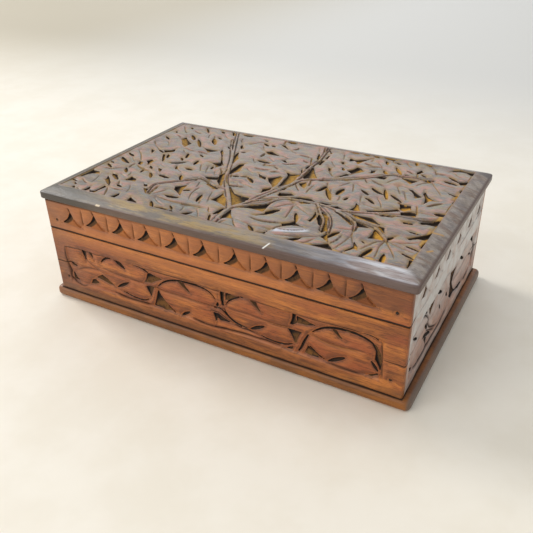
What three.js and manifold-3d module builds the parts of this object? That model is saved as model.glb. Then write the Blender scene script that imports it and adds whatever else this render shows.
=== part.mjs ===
// A carved wooden box with a hinged lid: a base board, two tiers of wall boards rebated at the corners,
// a rim of lid walls under a bevelled lid board, and a pair of brass butt hinges let into the back.
// Millimetres, +Z up, the front towards -Y. The origin is the middle of the underside.
import * as THREE from "three";
import { mergeVertices } from "three/addons/utils/BufferGeometryUtils.js";
import Module from "manifold-3d";

const wasm = await Module();
wasm.setup();

// Walls of the body and of the lid, over their outer faces
const wallsLength = 248.5;
const wallsDepth = 157;
const wallThickness = 9.5;
const wallCornerRadius = 1.2;
const lapThickness = 3.5; // what the rebate leaves of a front or back board, over the end board

// Heights, stacked from the underside up
const baseThickness = 7;
const lowerBoardHeight = 22.5;
const upperBoardHeight = 24.5;
const lidWallHeight = 21;
const lidEdgeThickness = 5;
const lidBevelRise = 3;

// Base board
const baseEndOverhang = 5;
const baseSideOverhang = 1.5;
const baseCornerRadius = 3.5;
const baseNosingRadius = 2.5;

// Lid board
const lidEndOverhang = 2.75;
const lidSideOverhang = 1;
const lidCornerRadius = 2.4;
const lidBevelWidth = 9.75;
const lidBevelBulge = 0.35; // how far the bevel rounds out from a straight slope, at its middle
const lidBevelSteps = 4;
const lidLowerEdgeRadius = 1.4;
const lidUpperEdgeRadius = 0.7;

// Gaps and clearances
const glueLine = 0.1;
const seamGap = 0.3; // between the body and the closed lid
const fastenerClearance = 0.06;
const pinClearance = 0.08;
const knuckleClearance = 0.25;
const mortiseClearance = 0.12;

// Butt hinges
const hingeLength = 30;
const hingeFromEnd = 50; // from the end of the walls to the middle of a hinge
const hingeAxisOutset = 0.5; // the pin's centre stands this far behind the back wall
const leafSetback = 1.7; // wood left between a leaf's free edge and the inner face of the wall
const leafThickness = 1;
const knuckleRadius = 2;
const knuckleCount = 5;
const pinRadius = 0.85;
const screwsPerLeaf = 3;
const screwPitch = 10;

// Hinge screws
const screwLength = 8;
const screwShankRadius = 0.95;
const screwHeadRadius = 1.9;
const screwHeadDepth = 0.95;
const screwTipLength = 2.2;
const screwSlotWidth = 0.5;
const screwSlotDepth = 0.4;

// Brads through the laps into the end boards, and nails through the base into the walls
const bradLength = 14;
const bradShankRadius = 0.6;
const bradHeadRadius = 0.85;
const bradHeadThickness = 0.7;
const bradSetDepth = 0.6; // how far a brad's head is driven below the face
const bradFromInnerFace = 2; // of the end board that it enters
const bodyBradHeight = 10.5; // above the base board
const lidBradHeight = 7; // above the seam
const nailLength = 20;
const nailShankRadius = 0.8;
const nailHeadRadius = 1.7;
const nailHeadThickness = 0.8;
const nailSetDepth = 0.3;
const nailPitch = 80; // along the front and back

const roundSteps = 5; // facets in a quarter round
const fastenerSides = 12;
const hingeSides = 24;

// What follows from those sizes
const bodyBoardJoint = baseThickness + lowerBoardHeight;
const seamHeight = bodyBoardJoint + upperBoardHeight;
const lidBoardUnderside = seamHeight + lidWallHeight;
const hingeAxisY = wallsDepth / 2 + hingeAxisOutset;
const hingeCentres = [-1, 1].map((side) => side * (wallsLength / 2 - hingeFromEnd));
const leafWidth = wallThickness + hingeAxisOutset - leafSetback; // from the pin's centre
const screwFromFreeEdge = (leafWidth - knuckleRadius) / 2;
const knuckleLength = hingeLength / knuckleCount;
const bradFromEnd = wallThickness - bradFromInnerFace;
const beyond = 1; // how far a cutter runs past the face that it opens

// Finishes
const bodyWood = { color: 0x7a3f20, roughness: 0.5, metalness: 0 };
const lidWood = { color: 0x5a4236, roughness: 0.45, metalness: 0 };
const baseWood = { color: 0x6e3b1d, roughness: 0.5, metalness: 0 };
const brass = { color: 0xa8873f, roughness: 0.4, metalness: 1 };
const steel = { color: 0x4b4640, roughness: 0.55, metalness: 1 };

// A closed mesh as a solid that can be joined and cut
function toSolid(geometry) {
  const bare = geometry.clone();
  bare.deleteAttribute("normal");
  bare.deleteAttribute("uv");
  const merged = mergeVertices(bare, 1e-4);
  return new wasm.Manifold(
    new wasm.Mesh({
      numProp: 3,
      vertProperties: merged.attributes.position.array,
      triVerts: new Uint32Array(merged.index.array),
    }),
  );
}

function toGeometry(solid) {
  const { vertProperties, triVerts } = solid.getMesh();
  const geometry = new THREE.BufferGeometry();
  geometry.setAttribute("position", new THREE.BufferAttribute(vertProperties, 3));
  geometry.setIndex(new THREE.BufferAttribute(triVerts, 1));
  const faceted = geometry.toNonIndexed();
  faceted.computeVertexNormals();
  return faceted;
}

function cut(geometry, cutters) {
  const start = toSolid(geometry);
  return toGeometry(cutters.reduce((solid, cutter) => solid.subtract(toSolid(cutter)), start));
}

function join(geometries) {
  return toGeometry(geometries.map(toSolid).reduce((solid, next) => solid.add(next)));
}

// A copy of a geometry, turned about X and then moved
function placed(geometry, { x = 0, y = 0, z = 0, turnX = 0 }) {
  return geometry.clone().rotateX(turnX).translate(x, y, z);
}

// A block between two corners
function block(low, high) {
  const size = high.map((value, axis) => value - low[axis]);
  const middle = high.map((value, axis) => (value + low[axis]) / 2);
  return new THREE.BoxGeometry(...size).translate(...middle);
}

// A rod along X, centred on the origin
function rodAlongX(radius, length, sides) {
  return new THREE.CylinderGeometry(radius, radius, length, sides).rotateZ(Math.PI / 2);
}

// A turned piece about Z, from [radius, height] pairs that run up the outside
function turned(profile, sides) {
  const points = profile.map(([radius, height]) => new THREE.Vector2(radius, height));
  return new THREE.LatheGeometry(points, sides).rotateX(Math.PI / 2);
}

// One ring of a moulded board: a rectangle with round corners, drawn in by inset
function boardRing(length, depth, cornerRadius, [inset, height]) {
  const radius = Math.max(cornerRadius - inset, 0.2);
  const cornerX = length / 2 - inset - radius;
  const cornerY = depth / 2 - inset - radius;
  const corners = [[1, -1, -90], [1, 1, 0], [-1, 1, 90], [-1, -1, 180]];
  return corners.flatMap(([sideX, sideY, startAngle]) =>
    Array.from({ length: roundSteps + 1 }, (_, step) => {
      const angle = THREE.MathUtils.degToRad(startAngle + (90 * step) / roundSteps);
      const x = sideX * cornerX + radius * Math.cos(angle);
      const y = sideY * cornerY + radius * Math.sin(angle);
      return [x, y, height];
    }),
  );
}

// A flat board whose edge follows a moulding: [inset, height] pairs from the underside to the top
function mouldedBoard(length, depth, cornerRadius, moulding) {
  const rings = moulding.map((pair) => boardRing(length, depth, cornerRadius, pair));
  const count = rings[0].length;
  const faces = [];
  for (let level = 0; level + 1 < rings.length; level++) {
    for (let i = 0; i < count; i++) {
      const here = level * count + i;
      const next = level * count + ((i + 1) % count);
      faces.push(here, next, next + count, here, next + count, here + count);
    }
  }
  const top = (rings.length - 1) * count;
  for (let i = 1; i + 1 < count; i++) {
    faces.push(0, i + 1, i);
    faces.push(top, top + i, top + i + 1);
  }
  const geometry = new THREE.BufferGeometry();
  geometry.setAttribute("position", new THREE.Float32BufferAttribute(rings.flat(2), 3));
  geometry.setIndex(faces);
  return geometry;
}

// Points of a quarter round of an edge, as [inset, height], between two angles in degrees
function quarterRound(radius, centreHeight, fromAngle, toAngle) {
  return Array.from({ length: roundSteps + 1 }, (_, step) => {
    const angle = THREE.MathUtils.degToRad(fromAngle + ((toAngle - fromAngle) * step) / roundSteps);
    return [radius * (1 - Math.cos(angle)), centreHeight + radius * Math.sin(angle)];
  });
}

function baseBoard() {
  const nosing = [
    ...quarterRound(baseNosingRadius, baseNosingRadius, -90, 0),
    ...quarterRound(baseNosingRadius, baseThickness - baseNosingRadius, 0, 90),
  ];
  const length = wallsLength + 2 * baseEndOverhang;
  const depth = wallsDepth + 2 * baseSideOverhang;
  return mouldedBoard(length, depth, baseCornerRadius, nosing);
}

// The bevel runs from the upper edge of the board's rim up to the flat field, bulging slightly
function lidBoard() {
  const rimTop = lidBoardUnderside + lidEdgeThickness;
  const bevel = Array.from({ length: lidBevelSteps }, (_, step) => {
    const share = (step + 1) / lidBevelSteps;
    const inset = THREE.MathUtils.lerp(lidUpperEdgeRadius, lidBevelWidth, share);
    const bulge = lidBevelBulge * 4 * share * (1 - share);
    return [inset, rimTop + lidBevelRise * share + bulge];
  });
  const edge = [
    ...quarterRound(lidLowerEdgeRadius, lidBoardUnderside + lidLowerEdgeRadius, -90, 0),
    ...quarterRound(lidUpperEdgeRadius, rimTop - lidUpperEdgeRadius, 0, 90),
    ...bevel,
  ];
  const length = wallsLength + 2 * lidEndOverhang;
  const depth = wallsDepth + 2 * lidSideOverhang;
  return mouldedBoard(length, depth, lidCornerRadius, edge);
}

// A front or back board: full length, its outer corners rounded, rebated over the end boards.
// side is -1 for the front and 1 for the back.
function longBoard(side, low, high) {
  const endX = wallsLength / 2;
  const shoulderX = endX - wallThickness - glueLine;
  const faceY = -wallsDepth / 2;
  const r = wallCornerRadius;
  const outline = new THREE.Shape();
  outline.moveTo(-endX + r, faceY);
  outline.lineTo(endX - r, faceY);
  outline.absarc(endX - r, faceY + r, r, -Math.PI / 2, 0, false);
  outline.lineTo(endX, faceY + lapThickness);
  outline.lineTo(shoulderX, faceY + lapThickness);
  outline.lineTo(shoulderX, faceY + wallThickness);
  outline.lineTo(-shoulderX, faceY + wallThickness);
  outline.lineTo(-shoulderX, faceY + lapThickness);
  outline.lineTo(-endX, faceY + lapThickness);
  outline.absarc(-endX + r, faceY + r, r, Math.PI, Math.PI * 1.5, false);
  const options = { depth: high - low, bevelEnabled: false, curveSegments: roundSteps };
  const turn = side > 0 ? Math.PI : 0;
  return new THREE.ExtrudeGeometry(outline, options).rotateZ(turn).translate(0, 0, low);
}

// An end board, between the laps. side is -1 for the left and 1 for the right.
function endBoard(side, low, high) {
  const outer = wallsLength / 2;
  const halfWidth = wallsDepth / 2 - lapThickness - glueLine;
  const xs = [side * outer, side * (outer - wallThickness)].sort((a, b) => a - b);
  return block([xs[0], -halfWidth, low], [xs[1], halfWidth, high]);
}

// A countersunk screw with its head's face at the origin, pointing down; grow makes its hole
function screwShape(grow = 0) {
  const head = screwHeadRadius + grow;
  const shank = screwShankRadius + grow;
  const profile = [
    [0, -screwLength - grow],
    [shank, -screwLength + screwTipLength - grow],
    [shank, -screwHeadDepth - grow],
    [head, -grow],
  ];
  if (grow > 0) profile.push([head, beyond], [0, beyond]);
  else profile.push([0, 0]);
  return turned(profile, fastenerSides);
}

function slottedScrew() {
  const slot = block(
    [-screwHeadRadius - beyond, -screwSlotWidth / 2, -screwSlotDepth],
    [screwHeadRadius + beyond, screwSlotWidth / 2, beyond],
  );
  return cut(screwShape(), [slot]);
}

// A round-headed nail or brad with its head's face at the origin, pointing down; grow makes its hole
function nailShape({ length, shankRadius, headRadius, headThickness, setDepth }, grow = 0) {
  const tipLength = 2 * shankRadius;
  const rise = grow > 0 ? setDepth + beyond : 0;
  return turned(
    [
      [0, -length - grow],
      [shankRadius + grow, -length + tipLength - grow],
      [shankRadius + grow, -headThickness - grow],
      [headRadius + grow, -headThickness - grow],
      [headRadius + grow, rise],
      [0, rise],
    ],
    fastenerSides,
  );
}

const brad = {
  length: bradLength,
  shankRadius: bradShankRadius,
  headRadius: bradHeadRadius,
  headThickness: bradHeadThickness,
  setDepth: bradSetDepth,
};
const nail = {
  length: nailLength,
  shankRadius: nailShankRadius,
  headRadius: nailHeadRadius,
  headThickness: nailHeadThickness,
  setDepth: nailSetDepth,
};

// Where the brads go at one height: a brad at each end of the front and of the back
function bradPlaces(height) {
  return [-1, 1].flatMap((front) =>
    [-1, 1].map((end) => ({
      name: (front < 0 ? "front" : "back") + (end < 0 ? "_left" : "_right"),
      side: front,
      end,
      x: end * (wallsLength / 2 - bradFromEnd),
      y: front * (wallsDepth / 2 - bradSetDepth),
      z: height,
      turnX: (-front * Math.PI) / 2,
    })),
  );
}
const bodyBrads = bradPlaces(baseThickness + bodyBradHeight);
const lidBrads = bradPlaces(seamHeight + lidBradHeight);
const bradHoles = (places) => places.map((place) => placed(nailShape(brad, fastenerClearance), place));

// Nails up through the base, three into each long board and one into each end board
const longBoardMiddle = wallsDepth / 2 - wallThickness / 2;
const endBoardMiddle = wallsLength / 2 - wallThickness / 2;
const nailPlaces = [
  ...["front", "back"].flatMap((name, i) =>
    [-1, 0, 1].map((step) => ({
      name: `${name}_${step + 2}`,
      x: step * nailPitch,
      y: (i === 0 ? -1 : 1) * longBoardMiddle,
    })),
  ),
  { name: "left", x: -endBoardMiddle, y: 0 },
  { name: "right", x: endBoardMiddle, y: 0 },
].map((place) => ({ ...place, z: nailSetDepth, turnX: Math.PI }));
const nailHoles = nailPlaces.map((place) => placed(nailShape(nail, fastenerClearance), place));

// Hinge shapes are drawn about the middle of the pin. half is -1 for the body's leaf, 1 for the lid's.
const knuckleMiddle = (index) => -hingeLength / 2 + knuckleLength * (index + 0.5);
const knuckleIndices = Array.from({ length: knuckleCount }, (_, index) => index);
const ownsKnuckle = (half, index) => (index % 2 === 0) === half < 0;

function zRange(half, near, far) {
  return half < 0 ? [-far, -near] : [near, far];
}

const screwOffsets = Array.from(
  { length: screwsPerLeaf },
  (_, i) => (i - (screwsPerLeaf - 1) / 2) * screwPitch,
);
function leafScrewPlaces(half) {
  return screwOffsets.map((x) => ({
    x,
    y: -leafWidth + screwFromFreeEdge,
    z: half * (seamGap / 2 + fastenerClearance),
    turnX: half < 0 ? 0 : Math.PI,
  }));
}
const screwHoles = (half) =>
  leafScrewPlaces(half).map((place) => placed(screwShape(fastenerClearance), place));

function hingeLeaf(half) {
  const [low, high] = zRange(half, seamGap / 2, seamGap / 2 + leafThickness);
  const plate = block([-hingeLength / 2, -leafWidth, low], [hingeLength / 2, 0, high]);
  const others = knuckleIndices.filter((index) => !ownsKnuckle(half, index));
  const own = knuckleIndices.filter((index) => ownsKnuckle(half, index));
  const clearances = others.map((index) =>
    rodAlongX(knuckleRadius + knuckleClearance, knuckleLength + knuckleClearance, hingeSides)
      .translate(knuckleMiddle(index), 0, 0),
  );
  const knuckles = own.map((index) =>
    rodAlongX(knuckleRadius, knuckleLength - knuckleClearance, hingeSides)
      .translate(knuckleMiddle(index), 0, 0),
  );
  const bore = rodAlongX(pinRadius + pinClearance, hingeLength + 2 * beyond, hingeSides);
  const blank = join([cut(plate, clearances), ...knuckles]);
  return cut(blank, [bore, ...screwHoles(half)]);
}

const hingePin = () => rodAlongX(pinRadius, hingeLength - knuckleClearance, hingeSides);

// What is cut from the wood for one leaf: its bed, a hollow for the barrel and the screw holes
function hingeCutters(half, centreX) {
  const bedHalf = hingeLength / 2 + mortiseClearance;
  const bedDepth = seamGap / 2 + leafThickness + mortiseClearance;
  const [low, high] = zRange(half, -beyond, bedDepth);
  const bed = block([-bedHalf, -leafWidth - mortiseClearance, low], [bedHalf, knuckleRadius, high]);
  const hollow = rodAlongX(knuckleRadius + knuckleClearance, 2 * bedHalf, hingeSides);
  return [bed, hollow, ...screwHoles(half)].map((cutter) =>
    cutter.translate(centreX, hingeAxisY, seamHeight),
  );
}
const allHingeCutters = (half) => hingeCentres.flatMap((x) => hingeCutters(half, x));

// The scene: the body, and the lid on its hinge axis, so that turning the lid's group opens it
const box = new THREE.Group();
const lidOnHinge = new THREE.Group();
lidOnHinge.position.set(0, hingeAxisY, seamHeight);
const lid = new THREE.Group();
lid.position.copy(lidOnHinge.position).negate();
lidOnHinge.add(lid);
box.add(lidOnHinge);

function addPiece(parent, name, geometry, finish, place = {}) {
  const mesh = new THREE.Mesh(geometry, new THREE.MeshStandardMaterial(finish));
  mesh.name = name;
  mesh.position.set(place.x ?? 0, place.y ?? 0, place.z ?? 0);
  mesh.rotation.x = place.turnX ?? 0;
  parent.add(mesh);
}

// Base board, with the nails' holes
addPiece(box, "base_board", cut(baseBoard(), nailHoles), baseWood);

// A tier of four wall boards between two heights, with the holes and beds that each one takes
function addTier(parent, prefix, low, high, finish, cutters) {
  for (const [name, side] of [["front", -1], ["back", 1]]) {
    const board = longBoard(side, low, high);
    addPiece(parent, `${prefix}_${name}`, cut(board, cutters[name]), finish);
  }
  for (const [name, side] of [["left", -1], ["right", 1]]) {
    const board = endBoard(side, low, high);
    addPiece(parent, `${prefix}_${name}`, cut(board, cutters[name]), finish);
  }
}

// Each brad crosses a long board's lap and ends in an end board
function bradCutters(places) {
  const at = (test) => bradHoles(places.filter(test));
  return {
    front: at((place) => place.side < 0),
    back: at((place) => place.side > 0),
    left: at((place) => place.end < 0),
    right: at((place) => place.end > 0),
  };
}

const lowerCutters = bradCutters(bodyBrads);
for (const name of Object.keys(lowerCutters)) {
  const nails = nailHoles.filter((_, i) => nailPlaces[i].name.startsWith(name));
  lowerCutters[name].push(...nails);
}
const lowerTop = bodyBoardJoint - glueLine / 2;
addTier(box, "body_lower", baseThickness + glueLine, lowerTop, bodyWood, lowerCutters);

const upperCutters = { front: [], back: allHingeCutters(-1), left: [], right: [] };
const upperLow = bodyBoardJoint + glueLine / 2;
addTier(box, "body_upper", upperLow, seamHeight - seamGap / 2, bodyWood, upperCutters);

const lidCutters = bradCutters(lidBrads);
lidCutters.back.push(...allHingeCutters(1));
const lidWallTop = lidBoardUnderside - glueLine;
addTier(lid, "lid_wall", seamHeight + seamGap / 2, lidWallTop, bodyWood, lidCutters);
addPiece(lid, "lid_board", lidBoard(), lidWood);

// Hinges: the pin stays in the body's leaf
hingeCentres.forEach((centreX, i) => {
  const label = i === 0 ? "left" : "right";
  const axis = { x: centreX, y: hingeAxisY, z: seamHeight };
  addPiece(box, `hinge_${label}_body_leaf`, hingeLeaf(-1), brass, axis);
  addPiece(lid, `hinge_${label}_lid_leaf`, hingeLeaf(1), brass, axis);
  addPiece(box, `hinge_${label}_pin`, hingePin(), brass, axis);
  for (const [half, parent, where] of [[-1, box, "body"], [1, lid, "lid"]]) {
    leafScrewPlaces(half).forEach((place, k) => {
      const world = {
        x: axis.x + place.x,
        y: axis.y + place.y,
        z: axis.z + place.z,
        turnX: place.turnX,
      };
      addPiece(parent, `hinge_${label}_${where}_screw_${k + 1}`, slottedScrew(), brass, world);
    });
  }
});

// Brads and nails
for (const place of bodyBrads) {
  addPiece(box, `body_brad_${place.name}`, nailShape(brad), steel, place);
}
for (const place of lidBrads) {
  addPiece(lid, `lid_brad_${place.name}`, nailShape(brad), steel, place);
}
for (const place of nailPlaces) {
  addPiece(box, `base_nail_${place.name}`, nailShape(nail), steel, place);
}

export default box;
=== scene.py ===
"""A carved walnut box with a hinged lid: the looks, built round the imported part."""

import functools
import math

import bpy
import numpy as np
from mathutils import Matrix, Vector


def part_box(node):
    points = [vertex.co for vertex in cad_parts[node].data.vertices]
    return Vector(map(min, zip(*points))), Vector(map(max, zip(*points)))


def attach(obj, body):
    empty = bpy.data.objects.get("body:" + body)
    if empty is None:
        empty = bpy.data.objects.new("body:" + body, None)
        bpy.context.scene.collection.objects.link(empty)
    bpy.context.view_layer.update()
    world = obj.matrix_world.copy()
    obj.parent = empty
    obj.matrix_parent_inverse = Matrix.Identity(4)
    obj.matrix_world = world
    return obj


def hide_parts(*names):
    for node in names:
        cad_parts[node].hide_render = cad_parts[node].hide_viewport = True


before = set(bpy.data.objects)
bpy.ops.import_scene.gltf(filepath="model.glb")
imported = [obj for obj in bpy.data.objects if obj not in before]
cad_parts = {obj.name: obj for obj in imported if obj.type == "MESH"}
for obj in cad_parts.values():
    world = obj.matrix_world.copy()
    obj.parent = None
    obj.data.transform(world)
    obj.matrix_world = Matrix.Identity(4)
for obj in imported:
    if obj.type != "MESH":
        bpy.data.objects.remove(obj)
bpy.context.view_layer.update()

# Shapes are worked out in millimetres; the frame and Blender are in metres
MM = 0.001
TINY = 1e-6              # keeps a divisor above nothing
CREASE = math.radians(34)  # an edge that bends more than this is shaded sharp

# Grids and carving
STEP = 0.645             # between points of the lid's carved surface, and of the walls'
WALL_STEP = 0.56
SNAP = 0.47              # how near to an edge a point is moved onto it, in steps
REACH = 7.0              # how far from a cut its distance is worked out
WALL = 0.5               # how far the wall of a pocket leans out
LID_DEPTH = 2.7
PANEL_DEPTH = 2.5
LID_SLOPE = (-0.6, 0.8)  # the side of a pocket on which it is deepest, in x and y
WALL_SLOPE = (-0.5, 0.86)
SUNK = 0.2               # how far the carved surface lies below the board's own
UNEVENNESS = [(11, 0.16), (3.1, 0.05)]  # pitch and height of the waves in a leaf
EDGE_DROP = 0.22         # rounding of a leaf beside a pocket
EDGE_WIDTH = 1.2
FOLD_DEPTH = 0.8         # how far a leaf dips along its veins
FOLD_WIDTH = 5.5
FOLD_NARROWS = 2.5       # how much narrower the fold is at the vein's end
DOME_DROP = 0.5          # how far a leaf slopes down to a pocket, and over what width
DOME_WIDTH = 4.5
LEDGE_DROP = 0.7         # how far one leaf lies below another along an edge
LEDGE_WIDTH = 5.0
STEM_CROWN = 0.4         # how far a stem is rounded off
MOAT_DEPTH = 0.75        # how far a leaf falls away beside a stem, over how many steps, and how dark the painted shade there is
MOAT_WIDTH = 1.6
MOAT_DARK = 0.75
SLIT_FULLNESS = 1.2      # a slit or a line is cut wider than the dark in it
LINE_FULLNESS = 1.5
SLENDER = 0.45           # a pocket is slender if its variance across is below this share of that along
SLOPE_SHARE = 0.85       # how much of a pocket's floor slopes
FLOOR_RISE = 0.14        # how much less deep a floor is beside its wall
FLOOR_WIDTH = 3.0
STIPPLE = 0.28           # punch marks in the floors
STIPPLE_PITCH = 1.15
ARRIS_WIDTH = 0.9        # of the worn paint along the edge of a cut and of the painted highlight under the seam, and of that near a pocket
NEAR_WIDTH = 2.2
TILT = 2.2               # how strongly painted light and shade show which way the wood tilts

# The lid board
BEVEL = 9.75             # width of the border round the field
BEVEL_RISE = 3.0
BEVEL_BULGE = 0.35
UPPER_RADIUS = 0.7
LOWER_RADIUS = 1.4
LID_CORNER = 2.4
BORDER_GROOVE = 0.55     # depth of the gilded groove round the field

# The wall boards and the base board
WALL_CORNER = 1.2
SHARP = 1e-3             # radius of a corner that isn't rounded
GLUE_LINE = 0.1
PANEL_DROP = 0.8
PANEL_EDGE = 1.2         # width of the slope down to a panel
END_WIDTH = 3.0          # over which the carving runs out towards a board's ends
END_FIXED = 0.7          # how near to the ends the grid stays straight
JOINT_ARRIS = 0.12
BODY_ARRIS = 0.4         # along the top of the body's walls
SEAM_ARRIS = 0.4         # along the bottom of the lid's walls
SIDE_ARRIS = 0.16        # along the seam of the right side
FOOT_ARRIS = 0.5         # along the base board
CHIP_SIDE = 0.85         # how large the side walls' chips are beside those in front
CHIP_WIDTH = 4.0         # from a chip's deep flank to where its floor reaches the surface
BRAD_PIT = 1.0           # radius
HINGE_GAP = 0.12
HINGE_BED = 1.27         # from the pin's centre to the bottom of a bed
BARREL_GAP = 0.25
NOSING = 2.5
BASE_CORNER = 3.5
BASE_STEP = 2.0
BASE_WEAR = 0.25

# Camera, as the photo was taken
CAMERA_AT = (189.742, -335.663, 244.017)
CAMERA_AZIMUTH = math.radians(29.86)
CAMERA_ELEVATION = math.radians(30.63)
CAMERA_ROLL = math.radians(-1.32)
CAMERA_LENS = 42.67


def box_of(node):
    """Lowest and highest corner of a CAD node, in millimetres."""
    low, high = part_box(node)
    return np.array(low) / MM, np.array(high) / MM


LID_UNDERSIDE, LID_TOP = (corner[2] for corner in box_of("lid_board"))
LID_EDGE_TOP = LID_TOP - BEVEL_RISE
WALL_OUTSIDE = box_of("body_upper_right")[1][0]
JOINT = box_of("body_lower_front")[1][2]


# Carving of the lid, in x and y.
# A slit is its two tips, its width and how far it bows to the left of the way between them, if it does.
LID_SLITS = [
    (110.5, -2.4, 119.5, -2, 3.6), (66.5, 1.6, 75.6, -5.6, 2.2, 0.4), (58, -3.2, 56.6, -8.2, 2),
    (38.6, 8.2, 36, -3.8, 3, 1), (39, 6.5, 50.2, -12.6, 2.8, -0.2), (50.6, 8.2, 49.2, -2.6, 3.6),
    (104.2, -30, 113, -31.6, 1.5, 0.3), (106.8, -46, 118.4, -49.8, 1.4), (107.6, -54.2, 117.6, -58.9, 1.5),
    (101.4, -58.8, 103.8, -72, 2.8), (94, -56.4, 91, -69, 3, 0.5), (85.4, -51.2, 88.6, -53.8, 1.1),
    (71.9, -47.2, 67.8, -57.2, 2.8, -0.6), (55, -61.6, 47, -71, 3.6, 1.2), (21, -61.8, 29, -70.4, 2.4, 0.3),
    (38.2, -36, 44.6, -48.6, 2.3, 0.4), (-2.2, -49.8, -3.8, -60.8, 2.8, 0.4),
    (-25.4, -39.4, -22.4, -50.8, 2.7, -0.1), (-15.8, -63.6, -22.6, -71, 2.6, 0.4),
    (-14.8, -2.4, -5.8, -10.6, 2.7, 0.5), (-24.6, -5.6, -19.2, -4.4, 2.2), (14.3, 34.6, 13.7, 26.8, 2),
    (-23.8, 26.4, -12.2, 25.4, 3), (61.8, 48.2, 67, 40.8, 2.2), (67.4, 57.2, 75.4, 44.8, 2.4, -0.1),
    (57.6, 64.8, 60.8, 58.2, 2.2, 0.4), (77.2, 71, 79.4, 65, 1.8), (103.6, 55.4, 112.4, 48.4, 2.1, -0.3),
    (102.4, 46.8, 112.6, 43.8, 2.6, 0.3), (59.8, 12, 68.4, 5.2, 2.1, -0.2),
    (79, 12.6, 89.4, 4.2, 2.3, -0.1), (64.8, 18.2, 76.4, 9.8, 2.6, -1.2), (73, 19.8, 80.4, 2.8, 2.4),
    (-60.6, 8, -59, -1, 2.6), (-45.2, 3.6, -43.4, -2.8, 2), (-75.6, 16.4, -71.4, 6.8, 2.2, 0.5),
    (-75.2, 7.4, -70.4, 1.6, 1.9), (-87.2, 8.4, -83.2, 0.8, 2.4, 0.4), (-91.8, 8.6, -81.8, -6.4, 2, 0.5),
    (-42.4, 34.4, -37.8, 36.2, 1.8), (-94.2, 69.4, -86.8, 59.6, 1.8), (-70, 70, -65.4, 62.6, 2.2, 0.4),
    (-56.4, -19, -50.4, -28, 2.5), (-70.2, -26, -59.6, -27.8, 2.8), (-78.2, -24.6, -71.2, -33.4, 2.2, 0.3),
    (-48.6, -61.2, -40.6, -70.6, 2.2, -0.2), (-34.6, -61.2, -28.4, -67.4, 1.5, 0.2),
    (-46.4, -51, -35.2, -50.2, 2.8, -0.6), (-40.4, -40.4, -35.4, -37.4, 2),
    (-96.2, 50.8, -87.4, 41.2, 2.8, 0.1), (-87, 45.6, -74.6, 29.8, 2.6, 0.2),
    (-76.6, 52.4, -67.2, 39.2, 3.4, -0.4), (-113.2, 39.6, -105.8, 33.8, 2),
    (-115.2, -9.4, -101, -18.8, 3.2, -1.2), (117.4, -36.5, 116.6, -46.5, 1.6),
    (116.6, 38.4, 117.6, 32.6, 1.8), (-76.5, -5.5, -66, 1.5, 2.6, -1), (-60.5, -8.5, -53.5, -9.5, 2.6),
    (-68.5, -7, -65.5, -13, 1.4), (-98, -25.5, -92, -33, 2.3, -0.4), (-85.5, -22, -83.5, -29, 1.6),
    (-85, -50.6, -78.5, -53.3, 2, -0.5), (11.5, 26, 15.5, 18, 1.2), (40, 69.6, 44, 68.6, 1.6),
    (47, 69.4, 52, 68, 1.8), (55, 69.6, 64, 68.2, 2), (85, 69.6, 89, 68.6, 1.6), (30, 69.6, 36, 69, 1.7),
    (31, 50.4, 33.2, 46.4, 2), (35.6, 40.2, 38.6, 35.4, 2), (86.4, 51.6, 91.2, 48, 1.7),
    (76.4, 47.2, 81, 45.4, 2), (65, 64.6, 69.4, 62.4, 1.9), (-36.8, 59.2, -29.4, 54.4, 2.1),
    (-28.4, 57.8, -24.6, 55, 2.4), (-21.4, 68.8, -12.6, 68.2, 2.2), (-59.4, 67.4, -50.6, 68.4, 2.2),
    (-39.2, 64.8, -34.8, 63.2, 1.7), (-79.4, 68.2, -75.2, 64.4, 2.4), (-74.6, 54.8, -69.6, 52.2, 2),
    (-66.8, 18.8, -61.2, 14.4, 1.9), (-100.8, 14.8, -91.6, 8.6, 1.9, -0.5),
    (-115.4, -1.8, -107.6, -5.8, 2.4, -0.3), (-115.4, -24.8, -107.2, -30.2, 2.1, -0.4),
    (-116.2, -20.2, -111.8, -23.2, 1.8), (-81.2, -68.6, -76.2, -70.4, 1.9),
    (-108.2, -65.4, -106, -69.8, 1.8), (-104.2, -67.8, -99.8, -69.8, 1.7),
    (-117.6, -57.4, -111.8, -58.8, 1.5), (-112.4, -60.6, -109, -63.4, 1.6), (-113.6, 53.4, -110, 49.6, 1.8),
    (-107, 65.8, -103.8, 62.2, 1.8),
]
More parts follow.
